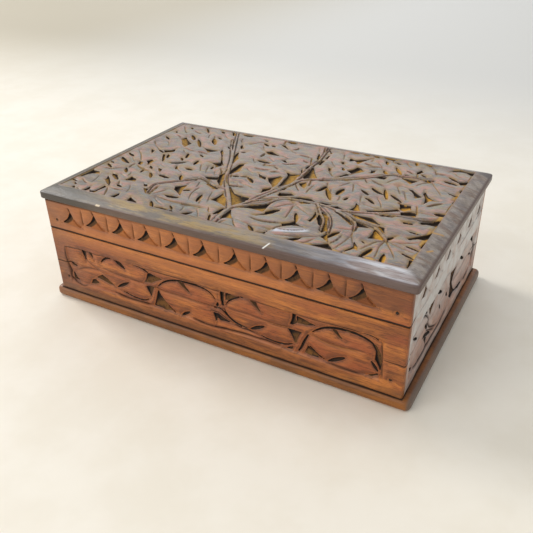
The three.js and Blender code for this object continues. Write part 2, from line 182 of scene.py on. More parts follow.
# A ground is a pocket with more than two corners, joined by sides that curve in.
LID_GROUNDS = [
    [(64.3, -7.4), (67.8, -10), (72.2, -18.6), (64.6, -19.2), (66, -13)],
    [(73, -15.4), (84, -10), (90, -5.4), (93.2, -7.8), (84, -13.2), (76, -16.6)],
    [(88.4, 2.2), (96, 2.2), (97.6, -3), (94, -7.6), (91, -5.4)],
    [(92.6, -8.8), (98, -5.4), (101.6, -5.4), (103.2, -11.6), (94, -12.6)],
    [(107, -15.6), (112.5, -12.5), (116.6, -8.2), (119, -7.4), (119, -20.6), (115, -17.2), (107.4, -18.2)],
    [(106.4, -37.6), (112, -32), (116.6, -26), (119, -25.4), (119, -37), (112.4, -36.4), (108, -39.6)],
    [(114.6, -59.4), (117.6, -59.4), (119, -72), (116.4, -70.4)],
    [(90.2, -66), (93, -67.4), (98, -71.2), (89.6, -71.2)],
    [(79.6, -48.2), (86.5, -58.4), (88.2, -63), (85.6, -61.6), (80.4, -71.2), (78.8, -71), (84, -59.6),
     (82.4, -55)],
    [(59.2, -71), (63, -67.6), (71.2, -62.2), (74.4, -65.4), (79, -71.4), (68, -70.8)],
    [(66.2, -49.2), (67.2, -54), (72, -62.8), (69, -60.6), (63.8, -56.8), (65.2, -53)],
    [(35.6, -61.8), (35.2, -70.4), (28.6, -69.4), (31, -67.6), (33.4, -67)],
    [(43, -44.8), (44.5, -48.3), (53.4, -51.8), (44, -52.3), (39.5, -56.2), (37.6, -52.5), (41.6, -49.4)],
    [(46.2, -23.4), (52.2, -36), (51.6, -43.8), (49.4, -43.2), (49.4, -36)],
    [(46, -22.6), (58, -32.4), (64.8, -48.6), (62.2, -54.4), (60, -47), (56.5, -44.5), (52.6, -38),
     (50.4, -30)],
    [(66, -22.4), (81, -22.8), (90.4, -30.6), (84, -29.8), (72, -27.2)],
    [(86.8, -30.8), (91.6, -31.4), (95.8, -41.4), (88, -33)],
    [(86.8, -33.4), (90, -36), (96.8, -43.4), (95, -45.6), (87.4, -47.6)],
    [(96.4, -41.6), (101, -38), (99.6, -43.8), (97.4, -43.8)],
    [(25.4, -19.2), (31, -15.8), (38, -14.8), (43.4, -18), (43.6, -21.2), (36, -24.4)],
    [(44.4, -19.2), (46, -16.4), (55.8, -15.8), (50, -19.4)],
    [(50.6, -20.4), (57, -17.2), (64.4, -20.6), (60, -21.4)],
    [(-33.2, -22), (-27, -22.4), (-19.8, -28.6), (-24, -29.6), (-32.2, -25.4)],
    [(-31.6, 0.4), (-26, -13), (-20.8, -23.6), (-24, -22.8), (-29, -17.6), (-33.2, -8)],
    [(-19.6, -19.8), (-15.4, -21), (-8, -29), (4, -30.8), (5.2, -36), (0, -47.8), (-7, -36.2)],
    [(-15, -31), (-8, -38.4), (-2.2, -49), (-11, -45), (-16.4, -44.2), (-14.8, -38)],
    [(-6.6, -59.2), (-3.5, -62.5), (1.2, -71), (-1.8, -71), (-5, -63.8)],
    [(1.2, -47.2), (8.8, -59.2), (5, -60.6), (3.4, -64), (1.6, -63.8), (0.8, -54)],
    [(7, -64.2), (6.2, -67), (4, -70.6), (2.6, -69.8)],
    [(2.4, -47.2), (8, -41.4), (19.8, -31.4), (21.2, -44.6), (10, -43.8)],
    [(6.2, -35.4), (12, -29), (21.6, -25.2), (14, -31)],
    [(7.8, -31.4), (10.4, -22), (14.2, -16.2), (11.4, -25.6)],
    [(9.2, -10.6), (9.4, -15), (6.4, -22.4), (4.2, -15.6)],
    [(18.8, 1.4), (17.6, -11), (12, -16.4), (10.6, -14), (15.6, -4)],
    [(16.2, -15.2), (24, -13.2), (27.4, -15), (20, -21.2), (17.2, -19.8)],
    [(26, -21.2), (33.8, -26.4), (30, -25)],
    [(28.6, -36.6), (25, -38.6), (21.8, -43.2), (22.6, -46), (17.8, -50.8), (20, -50.4), (24.2, -47),
     (27, -44), (29.2, -39)],
    [(-30.4, -67.2), (-28.6, -66.6), (-24.2, -70.6), (-29.6, -69.6)],
    [(-11.4, 6.4), (-3, 2.6), (-0.6, -2.2), (-7, -0.2)],
    [(-1.6, 1.6), (5, 8.2), (7.6, 7), (9.6, -5), (9.2, -11), (2, -3.6)],
    [(16.2, 33.2), (18.6, 31), (29.8, 14), (22, 7.8), (18, 14)],
    [(3.2, 17.4), (10, 14.2), (15.4, 17.2), (16.8, 6), (15.8, -1), (11, -10.4), (8.8, 5), (8.4, 11.2)],
    [(16.8, 46), (19.6, 47.2), (20.6, 36.2), (17.8, 38.6)],
    [(6.6, 65.4), (13.6, 52), (15.4, 45.6), (12.4, 47), (10.8, 52)],
    [(17, 58), (19.2, 56), (19.6, 50), (17.8, 47.4)],
    [(12.4, 70.4), (18.2, 62), (18, 59.8), (14, 65)],
    [(25.8, 36.8), (29.6, 35.5), (31.2, 29.2), (28.4, 32)],
    [(-9.2, 34), (-5.6, 35.6), (-1.4, 30.6), (-5, 31.8)],
    [(-23.4, 61.2), (-20, 62.2), (-8.6, 51.6), (-15, 55)],
    [(-31.4, 46.8), (-26, 43.8), (-22.4, 46.4), (-10, 40.2), (-22, 39.8)],
    [(44, 45.8), (47.2, 45), (51.4, 40), (45, 32.2), (40.2, 36.4), (43, 40.6)],
    [(54.3, 44.2), (57.6, 45.2), (58.2, 41), (55.4, 38.2)],
    [(32.8, 59.8), (38, 56.8), (48.4, 65), (43.6, 55.6), (42.6, 49.6), (38, 55), (34.8, 51.8)],
    [(101.6, 62.6), (103.6, 67.6), (108, 69.6), (117.6, 69.4), (118, 62.6), (115.4, 63.6), (112.6, 66.4),
     (108.6, 67), (104.6, 65.6)],
    [(110.2, 50.2), (113.5, 50.5), (119, 54.4), (119, 46.4), (113.6, 45.2)],
    [(107.2, 32.2), (116.5, 28.4), (119, 27), (119, 14), (116.4, 16), (116.6, 25.2), (110.6, 29)],
    [(79.8, 27.6), (89.6, 25.2), (97.8, 17.4), (94.4, 13.2), (90, 21.6), (86, 25)],
    [(96.2, 29), (101, 19.6), (108.6, 14.6), (103.6, 14.4), (101.2, 6.6), (99.6, 16.6), (96.6, 22)],
    [(42, 32.2), (45.2, 30), (38, 20.6), (39.6, 26)],
    [(43.2, 23), (53, 28.8), (54.8, 27), (46, 20.2)],
    [(56.2, 32.8), (64, 37.8), (68.4, 37.6), (68, 33)],
    [(74.6, 42.2), (88.4, 40.2), (84.6, 32.6), (79, 38.8)],
    [(84.4, 59.4), (87.2, 56), (84, 50.2), (82.4, 54)],
    [(-97.6, 45.2), (-85, 34.2), (-85.2, 25.4), (-91, 29.6), (-98, 38.6)],
    [(-60.8, 52.8), (-57, 50.6), (-53.2, 44.6), (-59.2, 47.6)],
    [(-62.4, 47.2), (-52.5, 38.6), (-48.2, 33), (-56, 38.8)],
    [(-51.2, 52.8), (-44, 42.4), (-46, 40.6), (-49, 45)],
    [(-45.8, 40.4), (-37, 23.2), (-32.4, 3.4), (-34.6, 2.8), (-43.2, 24)],
    [(-59.2, 37.4), (-54, 30.2), (-36, 3.4), (-44, 9.8), (-57, 30)],
    [(-52.2, 8), (-47.4, 8.6), (-44.8, 11.4), (-40.2, 7.4), (-42.4, 1), (-45, 5.4)],
    [(-105.8, 11.8), (-101.4, 11.6), (-98.6, 2), (-103, 8)],
    [(-95.6, 13.6), (-90, 16.4), (-89, 21), (-86.6, 14.6), (-87.4, 12.4), (-92, 9.2)],
    [(-74.4, 31.4), (-58, 30.6), (-64, 23.6), (-68, 28)],
    [(-41, -15), (-36, -13.2), (-30.4, -11.2), (-29.4, -16.4), (-32.6, -17.4), (-34.6, -18.8),
     (-37.4, -17)],
    [(-43.6, -17.6), (-41, -19), (-41.2, -22.8), (-46.6, -24.8), (-45.4, -21)],
    [(-79.2, -15.2), (-73.6, -17), (-70.2, -25.2), (-75.4, -19.6)],
    [(-86.8, -14.2), (-82, -16.4), (-79.2, -21), (-83.6, -19)],
    [(-98, -11.6), (-94.6, -11), (-92.2, -15.6), (-92.8, -17.4), (-96.2, -16.2)],
    [(-94.2, -9), (-91, -5.2), (-88.2, -7), (-87, -18.4), (-90.4, -12)],
    [(-84.4, -36.2), (-78.8, -38.2), (-76.6, -42.4), (-84.6, -43.8)],
    [(-101, -37.2), (-95.4, -38), (-91, -42), (-87, -46.6), (-93, -44.6), (-97.4, -41.4)],
    [(-101.4, -40.4), (-95.4, -45.6), (-90.4, -50.4), (-87, -56), (-91.6, -53.4), (-97, -49)],
    [(-116.8, -38.6), (-110, -39.2), (-107.6, -42), (-113.6, -46), (-115, -51.6), (-116.8, -51)],
    [(-90.4, -55.6), (-87.8, -58), (-88.8, -69.4), (-92, -69.4), (-94.8, -66.2), (-90.6, -65.4)],
    [(-97.7, -60.2), (-95.3, -65), (-95.8, -69.2), (-99.2, -69.6)],
    [(-73.8, -60.8), (-71.8, -64), (-72.2, -69.8), (-76.2, -69.4), (-75.2, -66.6)],
    [(-63.8, -62.2), (-56, -66.8), (-51, -71), (-62.4, -71)],
    [(-41.6, -67.9), (-36, -66.6), (-30.4, -67.2), (-29.4, -69.2), (-35, -70.2), (-41, -70.2)],
    [(-48.4, -37), (-41.8, -30.6), (-40.8, -38), (-36.2, -48.4), (-46.2, -41.2)],
    [(-70.6, -41.6), (-66, -42.6), (-64.4, -45.4), (-67, -46)],
    [(-66.2, -47.8), (-61.4, -47.4), (-57.4, -54.6), (-60.6, -53.2)],
    [(56, -23.5), (62, -25), (70, -30), (74.5, -36), (73, -37), (66, -31), (59, -26)],
    [(73.5, -30), (79, -32.5), (85.6, -36), (80, -37), (76, -38)],
    [(97.5, -19.8), (104.5, -18.6), (104, -20.6), (99, -22)],
    [(82, -16.6), (92, -15.2), (91, -17.6), (84, -19)],
    [(20.6, 2.6), (25, 7), (27, 2), (27.6, -3.6), (23.6, -0.4)],
    [(-31, 14.5), (-27.6, 16.6), (-24, 3.5), (-27.6, -4.6), (-31.4, 0.6)],
    [(88, 43.8), (93, 45.6), (95.8, 46.2), (95.4, 41.6), (92, 42.2)],
]
# A stem is a line of points on its way and its width at both ends.
LID_STEMS = [
    ([(2.2, -71), (0.6, -58), (0.4, -48)], 3, 2.6),
    ([(0.4, -49), (-9, -35), (-20, -19.6), (-28, -7), (-33, 4), (-42, 22), (-50, 38), (-58, 54),
      (-66, 70)], 2.8, 1.8),
    ([(-33, 4), (-38, 14), (-46, 28), (-54, 41), (-61, 54)], 1.6, 1.2),
    ([(0.4, -48), (6, -37), (12, -18), (17.6, 0), (21, 9), (32, 15), (42, 19.4), (56, 30), (70, 42),
      (96, 45)], 2.6, 1.6),
    ([(17.6, 0), (17, 12), (15.8, 30), (16, 44), (13.6, 58), (10, 70)], 2.2, 1.4),
    ([(16, 44), (14.6, 56), (12.4, 70)], 1.4, 1),
    ([(1.6, -46.6), (8, -40.4), (16, -34), (22, -24.4), (30, -21), (45, -20), (60, -22.4), (75, -18.6),
      (90, -14.6), (107, -13.4), (118, -8)], 2.4, 1.6),
    ([(5, -36.4), (12, -30.6), (20, -24.4)], 1.8, 1.6),
    ([(45, -20.6), (57, -31), (63, -41), (66, -52)], 1.6, 1.2),
    ([(46, -21), (52, -31), (57.6, -39), (61, -50.4)], 1.4, 1),
    ([(58, -22.6), (68, -28), (75, -34.4), (77.6, -42)], 1.8, 1.4),
    ([(70, -27.6), (80, -31.6), (88, -35), (97.4, -45)], 1.6, 1.2),
    ([(-16, -26), (-26, -24.6), (-34, -20), (-41, -18.4)], 1.6, 1.2),
    ([(-41, -18.4), (-46, -24), (-51, -30), (-58, -37), (-61.5, -42.5), (-58.5, -53)], 1.6, 1.2),
]
# A line is a V groove: its points, width, depth, share of ochre and kind. Along a vein the leaf folds.
# Along an edge the leaf on the right-hand side lies lower.
PLAIN, VEIN, EDGE = range(3)
LID_LINES = [
    ([(97, -45), (101, -51), (105, -57), (108.6, -64)], 1.2, 0.6, 0.9, VEIN),
    ([(97, -45), (103, -45), (110, -43), (115, -40)], 1.1, 0.5, 0.7, VEIN),
    ([(97, -45), (105, -49), (112, -51.6), (116, -53)], 1.1, 0.5, 0.7, VEIN),
    ([(97, -45), (93, -50), (90, -57), (88.6, -62)], 1.1, 0.5, 0.7, VEIN),
    ([(97, -46), (96.6, -54), (98, -62), (98.6, -68)], 1.1, 0.5, 0.7, VEIN),
    ([(101, -66), (103.4, -68.6), (108, -69.5), (112.4, -70.3)], 1.1, 0.5, 0.2, EDGE),
    ([(77, -40), (78.5, -50), (77, -62), (76, -68)], 1.2, 0.5, 0.8, VEIN),
    ([(77, -42), (72, -43.6), (68, -44.6)], 1.1, 0.4, 0.6, VEIN),
    ([(77.4, -44), (80.6, -52), (84.4, -59)], 1.1, 0.4, 0.6, VEIN),
    ([(72, -62), (73.6, -56), (74, -50)], 1.2, 0.4, 0.2, EDGE),
    ([(112, -20), (106, -21.5), (101, -25), (94, -28)], 1.5, 0.5, 0.3, EDGE),
    ([(99, 3), (101, -3), (103, -10)], 1.6, 0.8, 1, PLAIN),
    ([(74, 4), (78, -2), (80, -6), (81, -9.6)], 1.2, 0.5, 0.8, VEIN),
    ([(64, 3), (66, -4), (68, -8)], 1.1, 0.4, 0.8, VEIN),
    ([(70, -8), (76, -10), (82, -10.6)], 1.1, 0.4, 0.5, VEIN),
    ([(104, -4), (110, -5), (115, -6)], 1.1, 0.4, 0.7, VEIN),
    ([(39.4, -55.5), (37.6, -59), (36.4, -62)], 1.5, 0.9, 0.4, PLAIN),
    ([(17, -54), (25, -55.5), (33, -54), (37, -52.5)], 1.8, 0.7, 0.3, EDGE),
    ([(33, -28), (35, -38), (37, -48)], 1.2, 0.6, 0.8, VEIN),
    ([(32, -26), (27, -32), (24, -37)], 1.1, 0.5, 0.7, VEIN),
    ([(34, -27), (42, -33), (48, -37)], 1.1, 0.5, 0.7, VEIN),
    ([(29, -69.4), (36, -69.8), (48, -69.6)], 1.2, 0.6, 0.2, EDGE),
    ([(9, -59), (14, -66), (20, -71)], 1.2, 0.6, 0.8, VEIN),
    ([(9.6, -58.6), (18, -61), (30, -62), (38, -62)], 1.2, 0.4, 0.7, VEIN),
    ([(39, -60), (47, -57.4), (55, -53)], 1.2, 0.5, 0.5, EDGE),
    ([(41, -66), (49, -64), (59, -60.4), (65, -57)], 1.2, 0.5, 0.7, VEIN),
    ([(56, -70.4), (60, -66), (63.4, -60)], 1.1, 0.5, 0.6, VEIN),
    ([(30.5, 5), (31, -4), (32, -10)], 1.2, 0.6, 0.9, VEIN),
    ([(52, -2), (53.4, -7), (54, -12)], 1.1, 0.4, 0.7, VEIN),
    ([(19.6, 1), (23, -4), (27, -8.6)], 1.1, 0.5, 0.5, EDGE),
    ([(43, 5), (44.6, -1), (46.6, -6)], 1.1, 0.4, 0.6, VEIN),
    ([(12.4, 38.6), (13.4, 36.4), (14.6, 34.6)], 1.4, 0.8, 1, PLAIN),
    ([(31, 29.3), (33.5, 25.5), (36, 22)], 1.4, 0.7, 0.7, VEIN),
    ([(26, 29), (24, 26), (22.6, 23)], 1.6, 0.5, 0.2, EDGE),
    ([(53, 17), (56, 9), (57.5, 4)], 1.3, 0.5, 0.9, VEIN),
    ([(50, 18), (48, 13), (46, 9)], 1.1, 0.4, 0.6, VEIN),
    ([(55, 18), (60, 15), (64, 13)], 1.1, 0.4, 0.6, VEIN),
    ([(60.5, 22), (58.5, 24.5), (56.5, 28)], 1.6, 0.7, 0.2, EDGE),
    ([(49.6, 37), (46.5, 32.6), (45, 29)], 1.4, 0.7, 1, PLAIN),
    ([(28, 2.4), (27, 7), (25.6, 11)], 1.4, 0.8, 0.8, EDGE),
    ([(31, 11), (32.5, 14.5), (31.5, 18)], 1.6, 0.7, 0.2, EDGE),
    ([(37.4, 12), (38, 9.6), (38.8, 7)], 1.2, 0.5, 0.9, VEIN),
    ([(104.4, 5), (108, 10), (112, 13.4)], 2.2, 0.8, 0.2, EDGE),
    ([(88, 1.8), (88.6, 3.6), (89.2, 5.4)], 1.3, 0.8, 0.6, PLAIN),
    ([(79, 26.5), (82, 20), (85, 14)], 1.2, 0.4, 0.7, VEIN),
    ([(86, 19), (89, 12), (91, 7)], 1.2, 0.4, 0.7, VEIN),
    ([(97, 42), (100, 36), (104, 30), (109, 21)], 1.2, 0.5, 0.8, VEIN),
    ([(95, 42), (91, 36), (89, 29)], 1.1, 0.4, 0.6, VEIN),
    ([(98, 43), (106, 40), (113, 38)], 1.1, 0.4, 0.6, VEIN),
    ([(75.6, 38), (73, 33), (71, 26)], 1.1, 0.4, 0.6, VEIN),
    ([(61, 28), (66, 25), (72, 22)], 1.2, 0.5, 0.3, EDGE),
    ([(-56, -55), (-57.2, -48), (-58, -41)], 1.8, 0.9, 0.8, EDGE),
    ([(-50, -54.5), (-40, -56.5), (-30, -56.5), (-20, -56), (-11, -55.5)], 1.9, 0.6, 0.5, EDGE),
    ([(-10.5, -54.5), (-8.5, -58), (-6.5, -59.6)], 1.3, 0.7, 1, PLAIN),
    ([(-19, -52.5), (-20.4, -50), (-21.6, -46)], 1.4, 0.7, 1, PLAIN),
    ([(-22, -33), (-18.6, -42), (-15, -50)], 1.1, 0.4, 0.6, VEIN),
    ([(-33, -32), (-33, -38), (-31, -45), (-27, -52)], 1.2, 0.5, 0.7, VEIN),
    ([(-50, -45), (-52, -50), (-55, -54)], 1.1, 0.4, 0.5, VEIN),
    ([(-49, -57), (-44, -61), (-38, -64)], 1.2, 0.4, 0.8, VEIN),
    ([(-26, -59), (-24, -63), (-23, -67)], 1.1, 0.4, 0.6, VEIN),
    ([(-16, -59), (-12, -64), (-8, -70)], 1.1, 0.4, 0.7, VEIN),
    ([(-33, -6), (-35.5, -1.5), (-39, 2)], 1.8, 1.3, 1, EDGE),
    ([(-27.5, -7), (-24, -13.5), (-19.5, -19.5)], 1.5, 1, 1, PLAIN),
    ([(-19, -5), (-17, -3.4), (-14.6, -2.6)], 1.5, 0.7, 0.2, EDGE),
    ([(-23.8, -9), (-24.6, -7), (-26.5, -2)], 1.5, 1, 0.9, PLAIN),
    ([(-20, -19.4), (-15, -19.6), (-11, -18.6), (-6, -19.4)], 1.3, 0.6, 0.2, EDGE),
    ([(-13, -13.5), (-6, -15.5), (0, -19)], 1.5, 0.5, 0.9, VEIN),
    ([(-18, -14), (-14, -16), (-9, -21)], 1.1, 0.4, 0.6, VEIN),
    ([(-55, 3), (-51, -4), (-47, -10)], 1.3, 0.5, 0.8, VEIN),
    ([(-48, 1), (-45, -6), (-42, -11)], 1.1, 0.4, 0.6, VEIN),
    ([(-39, -4), (-37, -8), (-35, -10.6)], 1.2, 0.4, 0.8, VEIN),
    ([(-40, -19.5), (-35, -20.8), (-31, -22)], 1.8, 0.8, 0.4, EDGE),
    ([(-38, -24), (-36, -29), (-35, -33)], 1.2, 0.5, 0.5, VEIN),
    ([(-66, -10), (-62, -14), (-57, -17)], 1.1, 0.4, 0.6, VEIN),
    ([(-41, -25), (-43, -28), (-44, -32)], 1.6, 0.6, 0.2, EDGE),
    ([(-14.4, 18.6), (-14.6, 21), (-16, 24.4)], 1.8, 0.9, 0.8, PLAIN),
    ([(-15, 20.6), (-11, 21), (-6, 22)], 1.6, 0.6, 0.9, EDGE),
    ([(-24.4, 32.4), (-24.8, 36), (-24.6, 40)], 1.8, 0.9, 0.5, EDGE),
    ([(-7, 20.6), (-4, 19), (-1.6, 16.6)], 1.5, 0.6, 0.2, EDGE),
    ([(-18, 13), (-12, 12.6), (-6, 14)], 1.4, 0.5, 0.3, EDGE),
    ([(-28, 29), (-25, 24), (-21, 20)], 1.2, 0.4, 0.5, VEIN),
    ([(-18, 34), (-14, 31), (-11, 28)], 1.1, 0.4, 0.5, VEIN),
    ([(-4, 27), (0, 30), (6, 32)], 1.2, 0.5, 0.4, EDGE),
    ([(-22, 10), (-17, 6), (-13, 3)], 1.1, 0.4, 0.6, VEIN),
    ([(-5, 11), (-2, 13), (2, 13)], 1.2, 0.5, 0.3, EDGE),
    ([(-34, 54), (-31.5, 50), (-30, 47.4)], 1.4, 0.5, 0.9, VEIN),
    ([(-24.4, 35), (-24.6, 38), (-25, 40.6)], 1.8, 0.9, 0.4, PLAIN),
    ([(-21.2, 63), (-22.4, 67), (-23.4, 70.6)], 2, 0.9, 1, PLAIN),
    ([(-9.6, 55.6), (-7.6, 58), (-8.4, 61)], 1.6, 0.6, 0.2, EDGE),
    ([(-8.6, 51.6), (-6, 50.4), (-4, 49)], 1.6, 0.7, 0.5, PLAIN),
    ([(-45, 52), (-41, 56), (-37, 60)], 1.2, 0.4, 0.5, VEIN),
    ([(-55, 60), (-54, 56), (-52, 53)], 1.6, 0.5, 0.6, EDGE),
    ([(-9, 40), (-7, 39), (-4.6, 37.6)], 1.4, 0.7, 0.3, PLAIN),
    ([(-1, 47.6), (5, 47.4), (9, 45.4)], 1.8, 0.5, 0.3, EDGE),
    ([(12.6, 60), (11, 64), (9.6, 68)], 1.8, 0.8, 0.8, PLAIN),
    ([(9.6, 46), (11.4, 41), (13.8, 35)], 1.7, 1, 1, PLAIN),
    ([(6, 39.6), (9, 38), (12, 37.6)], 1.6, 0.5, 0.3, EDGE),
    ([(48.6, 64), (49.4, 60), (49, 56)], 1.4, 0.6, 1, PLAIN),
    ([(46, 53.6), (49, 52.4), (53, 51)], 1.6, 0.5, 0.2, EDGE),
    ([(27, 64), (29, 58), (31, 52)], 1.2, 0.4, 0.5, VEIN),
    ([(24, 48), (27, 43), (31, 38)], 1.2, 0.4, 0.5, VEIN),
    ([(34, 46), (37, 43), (40, 41)], 1.1, 0.4, 0.6, VEIN),
    ([(54, 59), (58, 54), (60, 49)], 1.2, 0.4, 0.6, VEIN),
    ([(50, 48), (54, 50), (59, 52)], 1.1, 0.4, 0.4, EDGE),
    ([(65, 62.4), (63, 65), (61.6, 68)], 1.8, 0.7, 1, PLAIN),
    ([(71.6, 68), (74.4, 63), (78, 58.4)], 1.6, 0.5, 0.8, VEIN),
    ([(84, 51), (85.4, 47), (85.6, 44.6)], 1.7, 0.7, 0.8, PLAIN),
    ([(76, 53), (79, 52), (82, 49)], 1.4, 0.5, 0.2, EDGE),
    ([(90, 66), (94, 60), (96, 53)], 1.2, 0.4, 0.6, VEIN),
    ([(93, 60), (97, 57), (102, 57)], 1.2, 0.5, 0.3, EDGE),
    ([(106, 62), (109, 58), (113, 56)], 1.2, 0.4, 0.5, VEIN),
    ([(-87, -46), (-84.6, -49), (-83.6, -51)], 1.9, 0.7, 0.3, PLAIN),
    ([(-80.6, -68), (-84, -62), (-87.4, -57)], 1.4, 0.6, 0.8, EDGE),
    ([(-76, -48), (-72, -54), (-70, -60)], 1.2, 0.4, 0.6, VEIN),
    ([(-106, -44), (-103, -51), (-101, -58)], 1.2, 0.4, 0.6, VEIN),
    ([(-112, -54), (-106, -58), (-101, -60)], 1.2, 0.4, 0.4, EDGE),
    ([(-85, -57), (-80, -57.6), (-74, -57)], 1.2, 0.5, 0.4, EDGE),
    ([(-94, -36), (-90, -38), (-86, -40)], 1.1, 0.4, 0.5, VEIN),
    ([(-111, 5), (-105, -1), (-100, -7), (-97, -11)], 1.9, 0.6, 0.9, VEIN),
    ([(-96, -25), (-97, -21), (-97, -16.6)], 1.8, 0.8, 0.3, PLAIN),
    ([(-95, -17.4), (-90, -21), (-84, -22.6), (-78, -24.6)], 2, 0.8, 0.8, EDGE),
    ([(-107, -8), (-103, -12), (-99, -15)], 1.1, 0.4, 0.7, VEIN),
    ([(-112, -33), (-106, -31), (-101, -28)], 1.2, 0.4, 0.5, EDGE),
    ([(-80, -10), (-77, -12), (-74, -14)], 1.1, 0.4, 0.5, VEIN),
    ([(-90, -30), (-88, -34), (-87, -38)], 1.1, 0.4, 0.5, VEIN),
    ([(-108.4, 21), (-111.6, 23.6), (-114, 27)], 1.8, 0.6, 0.8, EDGE),
    ([(-101, 15), (-105, 17.6), (-109.4, 20.6)], 1.6, 0.5, 0.7, VEIN),
    ([(-79, 16), (-80.2, 17.6), (-82, 19.4)], 1.2, 0.6, 0.2, PLAIN),
    ([(-84, 24), (-78, 22), (-72, 20)], 1.2, 0.4, 0.4, EDGE),
    ([(-70, 21), (-66, 22), (-60, 20)], 1.2, 0.4, 0.4, EDGE),
    ([(-104, 30), (-100, 26), (-97, 21)], 1.2, 0.4, 0.6, VEIN),
    ([(-78, 55), (-77, 53.6), (-76, 52)], 1.4, 0.7, 1, PLAIN),
    ([(-103, 53), (-107, 57), (-110.6, 61.6), (-114, 66)], 1.7, 0.5, 0.8, VEIN),
    ([(-100, 60), (-95, 57), (-90, 55)], 1.2, 0.4, 0.4, EDGE),
    ([(-84, 58), (-82, 53), (-80, 49)], 1.2, 0.4, 0.5, VEIN),
    ([(-72, 61), (-68, 57), (-64, 54)], 1.2, 0.4, 0.5, VEIN),
    ([(-106, 45), (-102, 43), (-100, 40)], 1.2, 0.4, 0.4, EDGE),
]

# Marks of wear on the lid, and one painted highlight on a leaf: place, turn, length, width, share and colour
LID_MARKS = [
    ((41.4, -77.6), 62, 6.4, 1.3, 1, (226, 224, 218)),
    ((-76.8, -79), 0, 4, 2.2, 1, (216, 196, 164)),
    # a painted highlight on a leaf lobe, not wear
    ((46, -58.6), 24, 24, 5, 0.75, (206, 210, 224)),
    ((121.5, -46), 60, 6, 1.6, 0.8, (190, 142, 60)),
    ((120, -26), 20, 8, 2.2, 0.8, (184, 138, 62)),
]

# Carving of the walls, in the place along the wall and the height, as seen from outside.
# A bow is a curved slit: the points on its way and its width in the middle.
FRONT_SLITS = [
    (-73.4, 42, -63.8, 36, 2.6, 0.6), (-73.6, 20.2, -62, 27.2, 1.9), (-21.8, 14.4, -14.2, 19.4, 1.8),
    (28.4, 20.4, 39.6, 26.4, 2.1), (79.2, 15.4, 90.6, 22.2, 2.3), (104.6, 25.6, 109.4, 19, 1.8),
]
FRONT_GROUNDS = [
    (0, [(-101, 42), (-96.2, 42), (-97, 38), (-98.4, 32.8), (-99.8, 37)]),
    (0, [(-95.6, 42), (-91.6, 41.6), (-90.2, 35.6), (-92.6, 38.4)]),
    (0, [(-113.8, 30.6), (-110.8, 29.4), (-106.8, 28.2), (-107.4, 26.8), (-110.8, 27)]),
    (0, [(-112.5, 22.5), (-110.6, 21), (-109.4, 18.2), (-106.6, 16), (-112.6, 16)]),
    (0, [(-97.2, 16.2), (-95, 20.6), (-91.8, 21.4), (-88.2, 18.8), (-93, 17)]),
    (0.3, [(-92.4, 22.2), (-89, 24.6), (-85.2, 26.8), (-81, 25), (-78, 22.6), (-74, 20.4), (-80, 20.6),
           (-84, 21.6), (-88.5, 22.6)]),
    (0.6, [(-50.6, 30.4), (-47.6, 33.4), (-46.2, 38.2), (-43.8, 39.4), (-32.6, 37.6), (-39, 34.5),
           (-43, 32)]),
    (0.1, [(-49, 28.4), (-45.2, 22), (-44.4, 21.6), (-40.8, 30), (-44.5, 29.6)]),
    (0.9, [(-43.2, 15.2), (-41.4, 20), (-39.6, 26), (-38.4, 28.6), (-36.2, 24.4), (-33, 20.6),
           (-27.6, 15.6), (-33, 14.8)]),
    (0, [(-23.8, 40), (-17.6, 40), (-15.4, 36.8), (-12.2, 33.2), (-15, 33.8), (-19, 36.4)]),
    (0.1, [(4.8, 30.2), (6.6, 33.6), (8, 31.2), (6.4, 29.4)]),
    (0.2, [(8.6, 41.6), (12.2, 41.4), (11.4, 36), (11.4, 31.8), (9.6, 31.2), (8.8, 36)]),
    (0.5, [(12.4, 41.6), (12.2, 36), (14.8, 36.6), (20, 40), (27, 41.8)]),
    (0.2, [(2.4, 25.2), (7, 25), (11.6, 22.6), (18, 20.4), (8, 20), (6.2, 21.4), (4.8, 16.4), (4.2, 20)]),
    (0, [(27.4, 42), (33.8, 41.6), (34.8, 38.6), (37.8, 34.6), (35, 35.8), (31.4, 39)]),
    (0.1, [(51.6, 15.2), (55, 17), (58.6, 19), (57.2, 15.6)]),
    (0.1, [(55, 33), (56.6, 37), (57, 41.6), (59.6, 41.4), (59.2, 38), (60.8, 35.6), (57, 33)]),
    (0.5, [(59.4, 40.8), (64, 39.7), (73.6, 37.6), (66, 35.6), (60, 35.2)]),
    (0.5, [(53.6, 29.6), (57, 25), (58.4, 20.8), (60.2, 21.4), (61, 26), (63.6, 30.4), (60, 30.2)]),
    (1, [(64.8, 16.4), (67, 22.4), (70, 20.8), (73.4, 18.2), (74.6, 15.8), (69, 15.6)]),
    (0, [(80.4, 39), (84.4, 38.8), (86, 36.2), (89.8, 33), (86, 34), (83, 36.4)]),
    (0.5, [(102.6, 38.8), (107.4, 36.4), (110.4, 32), (111.2, 26), (110.6, 19.4), (108.6, 24), (106.6, 27),
           (107, 32.4)]),
    (0.1, [(102, 15), (106, 16.6), (109.4, 18.8), (109.8, 17), (106, 15)]),
]
